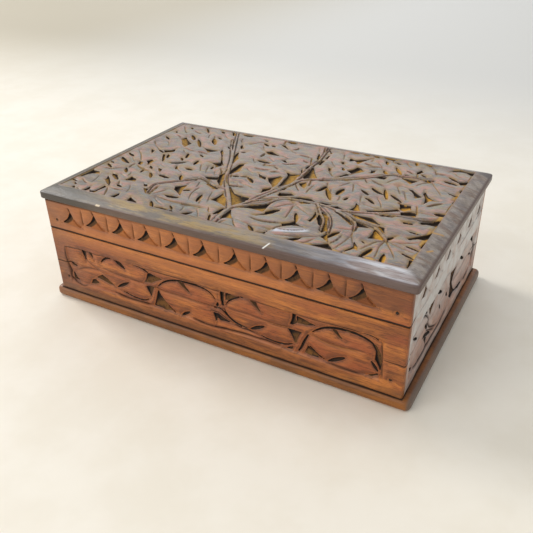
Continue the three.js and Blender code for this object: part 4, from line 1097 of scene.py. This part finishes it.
def lid_wood():
    """Waxed walnut gone grey, with painted sheen, highlights and shade, and ochre left in the ground of the
    carving.
    """
    s = Shader("lid_walnut")
    gilt, groove, border = s.attributes("gilt", "groove", "border")
    x, y, z = s.axes()
    tone = s.noise(grained(60, 7), 4)
    pores = s.noise(grained(7, 0.5), 3, 0.6)
    dust = s.noise(grained(4, 1.3), 4, 0.7, (3, 1, 2))
    film = s.noise((9, 5, 5), 4, 0.6, (7, 5, 3))
    top = s.blend(border, lid_leaves(s, tone, pores, dust, film), lid_border(s, x, y, z, tone, pores, film))
    outside = s.fit(z, LID_EDGE_TOP - 0.7, LID_EDGE_TOP)
    for at, turn, length, width, share, colour in LID_MARKS:
        marked = s.times(outside, s.times(mark(s, x, y, at, turn, length, width), share))
        top = s.blend(marked, top, colour)
    gold = s.blend(s.fit(x, 40.0, 110.0), (164, 122, 42), (202, 146, 38))
    old_gold = s.blend(0.5, gold, (190, 164, 110))
    # where the groove paint lies: gilt where gilded, else dark painted shade
    top = s.blend(groove, top, s.blend(gilt, (54, 38, 24), old_gold))
    # dark pocket walls and floors: partly stain, partly painted shade
    s.set(Base_Color=pocket_colour(s, top, (40, 26, 12), (80, 56, 22), gold))
    s.set(Roughness=matt_in_cuts(s, pores, 0.34, 0.92))
    s.set(Normal=s.bump(pores, 0.12, s.bump(dust, 0.15)))
    return s.material


def wall_wood(name, axis, shift, bloom_and_reflection=False, worn=0.0):
    """Oiled walnut, orange brown, dark with painted shade in the cuts, with painted light and shade by which
    way the wood tilts. A pale bloom with a painted reflection, stronger higher up, may lie on the outside of
    a right wall.
    """
    s = Shader(name)
    gilt, groove, edge_wear_and_highlight, tilt, leaf, near = s.attributes("gilt", "groove", "edge_wear_and_highlight", "tilt", "leaf", "near")
    x, _, z = s.axes()
    place = (shift, 1.7 * shift, 2.3 * shift)
    tone = s.noise(grained(70, 6, axis), 5, 0.6, place)
    streak = s.noise(grained(18, 0.9, axis), 4, 0.65, place)
    pores = s.noise(grained(5, 0.32, axis), 3, 0.6, place)
    patches = s.noise((22, 22, 12), 3, 0.6, place)
    # darker in patches towards the bottom of the walls
    darker_low_down = s.fit(z, 9.0, 15.0, s.fit(patches, 0.35, 0.65, 0.1, 0.7), 0.0)
    # painted highlight on the walls round the seam, fading towards the right
    seam_highlight = s.times(s.fit(z, 44.0, 50.0), s.fit(x, 20.0, 110.0, 0.4, 0.0))
    scallops = s.times(s.fit(z, 57.0, 65.0), s.fit(x, 0.0, 110.0, 0.12, 0.42))
    wood = s.coats(
        s.blend(s.fit(tone, 0.36, 0.64), (140, 77, 32), (196, 119, 50)),
        (s.fit(patches, 0.46, 0.66, 0.0, 0.6), (148, 72, 38)),
        (s.times(leaf, s.fit(patches, 0.3, 0.6, 0.2, 0.7)), (164, 84, 40)),
        (darker_low_down, (104, 72, 36)),
        (s.fit(streak, 0.46, 0.66, 0.0, 0.7), (98, 52, 24)),
        (s.fit(pores, 0.5, 0.68, 0.0, 0.65), (76, 40, 20)),
        # painted shade where the wood tilts away from the light, painted light where it tilts towards it
        (s.fit(tilt, 0.04, 0.3, 0.0, 0.55), (96, 50, 24)),
        (s.fit(tilt, -0.3, -0.03, 0.35, 0.0), (188, 112, 58)),
        # lighter edges: wear along the cuts, and a painted highlight under the seam
        (s.times(edge_wear_and_highlight, 0.1), (196, 120, 62)),
        (s.times(near, s.fit(patches, 0.3, 0.7, 0.15, 0.6)), (104, 56, 24)),
        (s.fit(patches, 0.3, 0.7, worn, 0.5 * worn), (124, 74, 12)),
        (seam_highlight, (206, 128, 68)),
        (scallops, (106, 62, 38)),
        (s.fit(x, -124.0, -92.0, 0.4, 0.0), (112, 80, 64)),
    )
    if worn:
        wood = s.blend(s.fit(x, WALL_OUTSIDE + 2.0, WALL_OUTSIDE + 4.0, 0.0, 0.7), wood, (100, 92, 84))
    if bloom_and_reflection:
        # a pale wax bloom, with a painted reflection that grows higher up the wall
        outside = s.fit(x, WALL_OUTSIDE - 6.0, WALL_OUTSIDE - 3.5)
        veil_and_reflection = s.times(s.fit(s.noise((10, 10, 10), 4, 0.6, place), 0.34, 0.6, 0.62, 1.0),
                       s.fit(z, 10.0, 42.0, 0.48, 1.0))
        veil_and_reflection = s.times(veil_and_reflection, s.fit(leaf, 0.0, 1.0, 1.0, 0.72))
        wood = s.blend(s.times(veil_and_reflection, outside), wood, (206, 202, 198))
    # where the groove paint lies: gilt where gilded, else near-black painted shade and the dark glue line
    wood = s.blend(groove, wood, s.blend(gilt, (22, 11, 6), (140, 96, 44)))
    # dark pocket walls and floors: partly stain, partly painted shade
    s.set(Base_Color=pocket_colour(s, wood, (18, 9, 5), (38, 21, 10), (116, 76, 32), place))
    s.set(Roughness=matt_in_cuts(s, pores, 0.38, 0.95))
    s.set(Normal=s.bump(pores, 0.08, s.bump(streak, 0.12)))
    return s.material


def base_wood():
    """The walls' wood, more worn, and gone grey on its right edge."""
    return wall_wood("walnut_base", 0, 7.7, worn=0.6)


def brass():
    """Dull brass with darker spots and fine scratches."""
    s = Shader("old_brass")
    stain = s.noise((5, 5, 5), 4, 0.65)
    scratch = s.noise((9, 0.2, 0.5), 2, 0.5)
    metal = s.blend(s.fit(stain, 0.4, 0.65), (196, 160, 92), (128, 96, 50))
    s.set(Base_Color=s.blend(s.fit(scratch, 0.55, 0.7, 0.0, 0.5), metal, (222, 192, 130)), Metallic=1.0)
    s.set(Roughness=s.fit(stain, 0.3, 0.7, 0.28, 0.5), Normal=s.bump(scratch, 0.02))
    return s.material


def steel():
    """Steel gone dark, with rust in patches."""
    s = Shader("dark_steel")
    rust = s.fit(s.noise((0.8, 0.8, 0.8), 4, 0.7), 0.45, 0.62)
    s.set(Base_Color=s.blend(rust, (44, 40, 38), (58, 34, 22)), Metallic=0.5)
    s.set(Roughness=s.fit(rust, 0.0, 1.0, 0.4, 0.8), Normal=s.bump(rust, 0.03))
    return s.material


# The lid board

def lid_heights(inset):
    """The height of the bevelled border beside the field, by the distance from the board's edge."""
    rise = np.clip((inset - UPPER_RADIUS) / (BEVEL - UPPER_RADIUS), 0, 1)
    nosing = UPPER_RADIUS - np.sqrt(UPPER_RADIUS ** 2 - np.clip(UPPER_RADIUS - inset, 0, UPPER_RADIUS) ** 2)
    return -BEVEL_RISE * (1 - rise) + 4 * BEVEL_BULGE * rise * (1 - rise) - nosing


def carve_leaves(face, rng):
    """Cuts the leaves on their branching stems into the lid's field."""
    for slit in LID_SLITS:
        outline = slit_outline(*slit)
        face.cut_pocket(outline, rng.uniform(0.75, 1), sloped(outline, 0.3, LID_SLOPE))
    for corners in LID_GROUNDS:
        outline = ground_outline(corners)
        face.cut_pocket(outline, rng.uniform(0.85, 1), sloped(outline, 0.42, LID_SLOPE))
    for stem in LID_STEMS:
        face.leave_stem(*stem)
    for line in LID_LINES:
        face.cut_line(*line)


def lid_board():
    """The lid board: a bevelled border round a field of leaves on branching stems."""
    low, high = box_of("lid_board")
    half = (high - low)[:2] / 2
    insets = [0, 0.1, 0.3, UPPER_RADIUS, 1.9, 3.4, 5.0, 6.7, 8.3, BEVEL, BEVEL + WALL, BEVEL + 2 * WALL]
    lines = [border_lines(h, insets, STEP) for h in half]
    face = Face(*lines, STEP)
    inset = (half - np.abs(face.at)).min(-1)
    in_field = inset - BEVEL
    rng = np.random.default_rng(3)
    carve_leaves(face, rng)
    fixed = (in_field < 2 * WALL + 0.1) | (in_field < face.pocket)
    face.pocket = np.minimum(face.pocket, in_field)
    height, paint = face.carve(LID_DEPTH, fixed, seed=5)

    groove = fade(np.abs(in_field - WALL), WALL)
    height = np.minimum(height, -BORDER_GROOVE * groove)
    on_border = in_field <= 0
    z = LID_TOP + np.where(on_border, lid_heights(inset), height)
    paint = {key: np.where(on_border, 0, value) for key, value in paint.items()}
    at_right = np.clip((face.at[..., 0] - face.at[..., 1] - 60) / 40, 0, 1) * (in_field > 0)
    smeared = np.clip(3 * smooth_noise(face.at, 8, rng) + 0.4, 0, 1)
    gold_at_right = np.clip(1.6 - np.abs(in_field - 1.4) / 1.4, 0, 1) * smeared * at_right
    before_back = np.clip((half[1] - BEVEL - 6 - face.at[..., 1]) / 4, 0, 1)
    gilded = 0.9 * np.maximum(groove * before_back, gold_at_right)
    paint["groove"] = np.maximum(paint["groove"], gilded)
    paint["gilt"] = np.where(gilded > 0, np.maximum(paint["gilt"], gilded), paint["gilt"])
    points, faces = slab(lines, face.at, z, half, LID_CORNER, round_under(LOWER_RADIUS, LID_UNDERSIDE, 4))
    border = fade(in_field + 0.2, 0.2)
    paint["border"] = np.concatenate([border.ravel(), np.ones(len(points) - z.size)])
    piece = add_piece("carved_lid_board", points, faces, "lid", lid_wood(), paint)
    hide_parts("lid_board")


# The wall boards

def cut_vine(face, layout):
    """Cuts the vine of leaves into a face."""
    (left, bottom, right, top), slits, grounds, bows, lines = layout
    u, v = face.at[..., 0], face.at[..., 1]
    face.panel = np.minimum(np.minimum(u - left, right - u), np.minimum(v - bottom, top - v))
    for slit in slits:
        outline = slit_outline(*slit)
        face.cut_pocket(outline, 0.15, sloped(outline, 0.6, WALL_SLOPE))
    for points, width in bows:
        face.cut_pocket(bow_outline(points, width), 0.2, 0.8)
    for gilt, corners in grounds:
        outline = ground_outline(corners)
        face.cut_pocket(outline, 0.3 + 0.7 * gilt, sloped(outline, 0.4, WALL_SLOPE))
    for points, width, *rest in lines:
        face.cut_line(points, LINE_FULLNESS * width, *rest)


def chip_depth(at, meeting, size):
    """The share of the depth in a chip: steep down its left flank, and rising from there to the surface."""
    across, down = (at[..., 0] - meeting[0]) / size, (meeting[1] - at[..., 1]) / size
    from_flank = 0.68 * across + 0.19 * down + 0.064 * down ** 2
    return np.clip(1.1 - from_flank / CHIP_WIDTH, 0.05, 1)


def cut_scallops(face, meetings, size):
    """Cuts a chip and two lines where two scallops meet, and a vein down the middle of each scallop."""
    for meeting in np.array(meetings):
        face.cut_pocket(meeting + size * np.array(CHIP), 0.5,
                        functools.partial(chip_depth, meeting=meeting, size=size))
        face.cut_line(meeting + CREST_LINE, 1.3, 0.8, 0, PLAIN)
        face.cut_line(meeting + FLANK_LINE, 1.1, 0.3, 0.3, PLAIN)
    for before, after in zip(meetings, meetings[1:]):
        middle = ((before[0] + after[0]) / 2, 0)
        face.cut_line(np.array(middle) + SCALLOP_VEIN, 1.2, 0.5, 0.2, VEIN)


def cut_brad_pits(face, part, side):
    """Cuts the pits over the two brads that cross a front or back board. One pit has lost its filling."""
    for end in ("left", "right"):
        low, high = box_of(f"{part}_brad_{side}_{end}")
        x = (low[0] + high[0]) / 2 * (1 if side == "front" else -1)
        z = (low[2] + high[2]) / 2
        angles = np.linspace(0, 2 * math.pi, 13)[:-1]
        ring = np.column_stack([x + BRAD_PIT * np.cos(angles), z + BRAD_PIT * np.sin(angles)])
        is_open = (part, side, end) == ("lid", "front", "right")
        face.cut_pocket(ring, 0 if is_open else 0.8, 0.8 if is_open else 0.25)


def flipped(points):
    """Points seen in a mirror."""
    return [(-x, y) for x, y in points]


def mirrored(layout):
    """A layout seen in a mirror, for the walls that the photo doesn't show."""
    (left, bottom, right, top), slits, grounds, bows, lines = layout
    return ((-right, bottom, -left, top),
            [(-c, d, -a, b, *rest) for a, b, c, d, *rest in slits],
            [(gilt, flipped(corners)) for gilt, corners in grounds],
            [(flipped(points), width) for points, width in bows],
            [(flipped(points), *rest) for points, *rest in lines])


class WallBoard:
    """One board of a wall, as if it faced front: a face along the wall and up, and plain sides behind it."""

    def __init__(self, node, turn, arrises):
        self.node, self.turn, self.arrises = node, math.radians(turn), arrises
        low, high = box_of(node)
        along = 1 if turn % 180 else 0
        self.bottom, self.top = low[2], high[2]
        self.width = (high - low)[along]
        self.out = max(abs(low[1 - along]), abs(high[1 - along]))
        back = (high - low)[1 - along] - self.out
        if along:
            self.radius = SHARP
            self.flat = self.width / 2
            ends = np.array([])
            self.inner = [(self.flat, back), (-self.flat, back)]
        else:
            self.radius = WALL_CORNER
            self.flat = self.width / 2 - WALL_CORNER
            end_low, end_high = box_of(node.rsplit("_", 1)[0] + "_right")
            lap, shoulder = end_high[1] + GLUE_LINE, end_low[0] - GLUE_LINE
            arc = WALL_CORNER * math.pi / 2
            past = arc + self.out - WALL_CORNER - lap
            ends = self.flat + np.array([arc / 4, arc / 2, 3 * arc / 4, arc, past])
            self.inner = [(shoulder, -lap), (shoulder, back), (-shoulder, back), (-shoulder, -lap)]
        middle = np.linspace(-self.flat, self.flat, round(2 * self.flat / WALL_STEP) + 1)
        a, b = arrises
        rows = round((self.top - self.bottom - a - b) / WALL_STEP) + 1
        heights = np.concatenate([[self.bottom, self.bottom + 0.3 * a],
                                  np.linspace(self.bottom + a, self.top - b, rows),
                                  [self.top - 0.3 * b, self.top]])
        self.face = Face(np.concatenate([-ends[::-1], middle, ends]), heights, WALL_STEP)

    def shade_and_glue_line(self, s, z):
        """Painted shade in the seams and at the foot of the lower boards, a painted shadow under the lid's
        rim, and the dark glue line by the corners.
        """
        up, down = z - self.bottom, self.top - z
        shade_and_glue_line = np.zeros(z.shape)
        if self.node.startswith("lid"):
            seam = np.clip(3 * (1 - up / 1.4), 0, 1)
            if self.node == "lid_wall_right":
                seam *= np.clip((-s - self.flat + 9) / 5, 0, 1)
            darker_left = np.clip(0.9 - (s + self.width / 2) / (0.6 * self.width), 0.25, 0.9)
            shade_and_glue_line = np.maximum(seam, np.clip(1.4 * (1 - down / 1.6), 0, 1) * darker_left)
        elif self.node.startswith("body_lower"):
            shade_and_glue_line = np.clip(1.3 * (1 - up / 0.8), 0, 1)
        at_end = np.clip((np.abs(s) - self.width / 2 + 13) / 2, 0, 1)
        return np.maximum(shade_and_glue_line, 0.8 * (np.abs(z - JOINT) < 0.45) * at_end)

    def carve(self, seed):
        """How high each point of the face lies, and its paint."""
        a, b = self.arrises
        s, z = self.face.at[..., 0], self.face.at[..., 1]
        fixed = (z < self.bottom + a + 0.1) | (z > self.top - b - 0.1) | (np.abs(s) > self.flat - END_FIXED)
        height, paint = self.face.carve(PANEL_DEPTH, fixed, seed)
        s, z = self.face.at[..., 0], self.face.at[..., 1]
        paint["leaf"] = smooth(np.clip(self.face.panel / PANEL_EDGE, 0, 1))
        # painted shade and shadow, with the dark glue line, darken like the grooves
        paint["groove"] = np.maximum(paint["groove"], self.shade_and_glue_line(s, z))
        if self.node.startswith("body_upper"):
            # a painted highlight along the top edge, just under the seam
            paint["edge_wear_and_highlight"] = fade(self.top - z, ARRIS_WIDTH)
        height = height - PANEL_DROP * paint["leaf"]
        return height * np.clip((self.flat - np.abs(s)) / END_WIDTH, 0, 1), paint

    def outside(self, height):
        """The points of the face, wrapped round the corners and with its upper and lower arris eased."""
        s, z = self.face.at[..., 0], self.face.at[..., 1]
        a, b = self.arrises
        near_bottom = np.clip(a - (z - self.bottom), 0, a)
        near_top = np.clip(b - (self.top - z), 0, b)
        ease = a - np.sqrt(a * a - near_bottom ** 2) + b - np.sqrt(b * b - near_top ** 2)
        past = np.abs(s) - self.flat
        angle = np.clip(past / self.radius, 0, math.pi / 2)
        straight = np.clip(past - self.radius * math.pi / 2, 0, None)
        side = np.sign(s)
        x = np.where(past > 0, side * (self.flat + self.radius * np.sin(angle)), s)
        y = -(self.out - self.radius + self.radius * np.cos(angle)) + straight
        way = np.stack([side * np.sin(angle), -np.cos(angle)], -1)
        place = np.stack([x, y], -1) + way * (height - ease)[..., None]
        return np.concatenate([place, z[..., None]], -1).reshape(-1, 3)

    def mesh(self, height):
        """The points and faces of the board, turned to its side of the box."""
        count = len(self.inner)
        ends = [np.column_stack([self.inner, np.full(count, z)]) for z in (self.bottom, self.top)]
        points = np.vstack([self.outside(height), *ends])
        below = [height.size + i for i in range(count)]
        above = [count + i for i in below]
        index = np.arange(height.size).reshape(height.shape)
        faces = split_quads(height)
        faces.append([int(index[-1, 0]), below[0], above[0]] + index[-1, :0:-1].tolist())
        faces.append([below[-1]] + index[0].tolist() + [above[-1]])
        faces += zip(below, below[1:], above[1:], above)
        faces.append(index[:, -1].tolist() + above)
        faces.append((index[:, 0].tolist() + below)[::-1])
        c, n = math.cos(self.turn), math.sin(self.turn)
        points[:, :2] = points[:, :2] @ np.array([(c, n), (-n, c)])
        return points, faces


def wall_board(node, turn, cut, arrises, material, seed):
    """One board of a wall, carved by the function cut and then turned about Z."""
    board = WallBoard(node, turn, arrises)
    cut(board.face)
    part, kind, side = node.split("_")
    if kind != "upper" and side in ("front", "back"):
        cut_brad_pits(board.face, part, side)
    height, paint = board.carve(seed)
    points, faces = board.mesh(height)
    on_lid = part == "lid"
    piece = add_piece("carved_" + node, points, faces, "lid" if on_lid else "box_body",
                      material, paint)
    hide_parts(node)
    return piece


def walls():
    """The twelve wall boards."""
    front = (FRONT_PANEL, FRONT_SLITS, FRONT_GROUNDS, FRONT_BOWS, FRONT_LINES)
    right = (RIGHT_PANEL, RIGHT_SLITS, RIGHT_GROUNDS, RIGHT_BOWS, RIGHT_LINES)
    sides = {
        "front": (0, front, FRONT_MEETINGS),
        "right": (90, right, RIGHT_MEETINGS),
        "back": (180, mirrored(front), flipped(FRONT_MEETINGS[::-1])),
        "left": (270, mirrored(right), flipped(RIGHT_MEETINGS[::-1])),
    }
    seed = 20
    for side, (turn, layout, meetings) in sides.items():
        at_right = side == "right"
        vine = functools.partial(cut_vine, layout=layout)
        scallops = functools.partial(cut_scallops, meetings=meetings, size=CHIP_SIDE if turn % 180 else 1)
        boards = [
            ("body_lower", vine, (FOOT_ARRIS, JOINT_ARRIS)),
            ("body_upper", vine, (JOINT_ARRIS, SIDE_ARRIS if at_right else BODY_ARRIS)),
            ("lid_wall", scallops, (SIDE_ARRIS if at_right else SEAM_ARRIS, JOINT_ARRIS)),
        ]
        for board, cut, arrises in boards:
            node = board + "_" + side
            material = wall_wood("walnut_" + node, 1 if turn % 180 else 0, 0.31 * (seed - 19), bloom_and_reflection=at_right)
            piece = wall_board(node, turn, cut, arrises, material, seed)
            if node in ("body_upper_back", "lid_wall_back"):
                cut_hinge_beds(piece)
            seed += 1


def cut_hinge_beds(piece):
    """Cuts the beds of the hinge leaves and the hollows for their barrels."""
    for side in ("left", "right"):
        pin_low, pin_high = box_of(f"hinge_{side}_pin")
        leaf_low, leaf_high = box_of(f"hinge_{side}_body_leaf")
        middle = (pin_low + pin_high) / 2
        low = np.array([leaf_low[0] - HINGE_GAP, leaf_low[1] - HINGE_GAP, middle[2] - HINGE_BED])
        high = np.array([leaf_high[0] + HINGE_GAP, pin_high[1] + HINGE_GAP, middle[2] + HINGE_BED])
        bpy.ops.mesh.primitive_cube_add(size=MM, location=(low + high) / 2 * MM, scale=high - low)
        bed = bpy.context.object
        radius = leaf_high[1] - middle[1] + BARREL_GAP
        bpy.ops.mesh.primitive_cylinder_add(vertices=32, radius=radius * MM, depth=(high - low)[0] * MM,
                                            location=middle * MM, rotation=(0, math.pi / 2, 0))
        for cutter in (bed, bpy.context.object):
            modifier = piece.modifiers.new("bed", "BOOLEAN")
            modifier.operation = "DIFFERENCE"
            modifier.solver = "MANIFOLD"
            modifier.object = cutter
            shape = piece.evaluated_get(bpy.context.evaluated_depsgraph_get())
            mesh = bpy.data.meshes.new_from_object(shape)
            piece.modifiers.clear()
            piece.data = mesh
            bpy.data.objects.remove(cutter)


# The base board and the frame's own pieces

def base_board():
    """The base board, rounded along its edges and a little worn."""
    low, high = box_of("base_board")
    half = (high - low)[:2] / 2
    insets = [0, 0.17, 0.65, 0.95, 1.5, NOSING, 4.0, 5.0, 6.0]
    lines = [border_lines(h, insets, BASE_STEP) for h in half]
    at = np.stack(np.meshgrid(*lines, indexing="ij"), -1)
    inset = (half - np.abs(at)).min(-1)
    near = np.clip(NOSING - inset, 0, NOSING)
    wear = BASE_WEAR * np.clip(smooth_noise(at, 9, np.random.default_rng(8)), 0, 1) * fade(inset, 2)
    z = high[2] - (NOSING - np.sqrt(NOSING ** 2 - near ** 2)) - wear * (inset > 0)
    points, faces = slab(lines, at, z, half, BASE_CORNER, round_under(NOSING, low[2], 5))
    inside_walls = (np.array([WALL_OUTSIDE, -box_of("body_lower_front")[0][1]]) - np.abs(at)).min(-1)
    # painted shade on the base where the walls stand on it
    paint = {"groove": 0.9 * ((inside_walls + 0.01 > 0) & (inside_walls <= 8))}
    piece = add_piece("worn_base_board", points, faces, "box_body", base_wood(), paint)
    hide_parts("base_board")


def finish_metal():
    """Gives the hinges with their screws, the brads and the nails their metal."""
    hinge_metal, nail_metal = brass(), steel()
    for name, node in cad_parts.items():
        if name.startswith("hinge"):
            metal = hinge_metal
        elif "brad" in name or "nail" in name:
            metal = nail_metal
        else:
            continue
        node.data.materials.clear()
        node.data.materials.append(metal)


lid_board()
walls()
base_board()
finish_metal()


# Floor, light and camera

def floor():
    """A pale floor with a faint mottle, and painted shade that darkens it far off to the left."""
    side = 6.0
    mesh = bpy.data.meshes.new("floor")
    corners = [(-side, -side, 0), (side, -side, 0), (side, side, 0), (-side, side, 0)]
    mesh.from_pydata(corners, [], [(0, 1, 2, 3)])
    s = Shader("pale_floor")
    x, y, _ = s.axes()
    near = s.blend(s.fit(s.noise((60, 60, 60), 4, 0.6), 0.35, 0.65), (238, 231, 216), (243, 237, 224))
    # painted shade: the far floor darkens towards the left, against the light from the left
    far = s.blend(s.fit(x, -900.0, -250.0), (180, 172, 154), (204, 203, 199))
    s.set(Base_Color=s.blend(s.fit(y, 100.0, 700.0), near, far), Roughness=0.6)
    mesh.materials.append(s.material)
    plane = bpy.data.objects.new("floor", mesh)
    bpy.context.scene.collection.objects.link(plane)


def area_light(name, direction, distance, size, power, colour):
    """A soft square light that looks at the box."""
    light = bpy.data.lights.new(name, "AREA")
    light.shape = "SQUARE"
    light.size = size
    light.energy = power
    light.color = colour
    lamp = bpy.data.objects.new(name, light)
    towards = Vector(direction).normalized()
    lamp.location = Vector((0, 0, 0.05)) + towards * distance
    lamp.rotation_mode = "QUATERNION"
    lamp.rotation_quaternion = towards.to_track_quat("Z", "Y")
    bpy.context.scene.collection.objects.link(lamp)


def room():
    """The light of a white room."""
    world = bpy.data.worlds.new("room")
    world.use_nodes = True
    background = world.node_tree.nodes["Background"]
    background.inputs["Color"].default_value = (0.97, 0.985, 1.0, 1)
    background.inputs["Strength"].default_value = 0.64
    bpy.context.scene.world = world
    bpy.context.scene.view_settings.view_transform = "Standard"


def camera():
    """The photo's camera."""
    data = bpy.data.cameras.new("camera")
    data.lens = CAMERA_LENS
    data.sensor_width = 36
    view = bpy.data.objects.new("camera", data)
    a, e, r = CAMERA_AZIMUTH, CAMERA_ELEVATION, CAMERA_ROLL
    back = Vector((math.sin(a) * math.cos(e), -math.cos(a) * math.cos(e), math.sin(e)))
    right = Vector((0, 0, 1)).cross(back).normalized()
    up = back.cross(right)
    right, up = right * math.cos(r) + up * math.sin(r), up * math.cos(r) - right * math.sin(r)
    turned = Matrix((right, up, back)).transposed().to_4x4()
    view.matrix_world = Matrix.Translation(Vector(CAMERA_AT) * MM) @ turned
    bpy.context.scene.collection.objects.link(view)
    bpy.context.scene.camera = view


floor()
room()
area_light("window", (-0.86, 0.14, 0.62), 3.2, 1.0, 48, (1, 0.98, 0.94))
area_light("left_room", (-0.5, -0.8, 0.5), 3.6, 2.8, 46, (1, 0.95, 0.88))
area_light("back_wall", (-0.35, 0.85, 0.42), 3.0, 2.4, 14, (0.93, 0.96, 1))
camera()
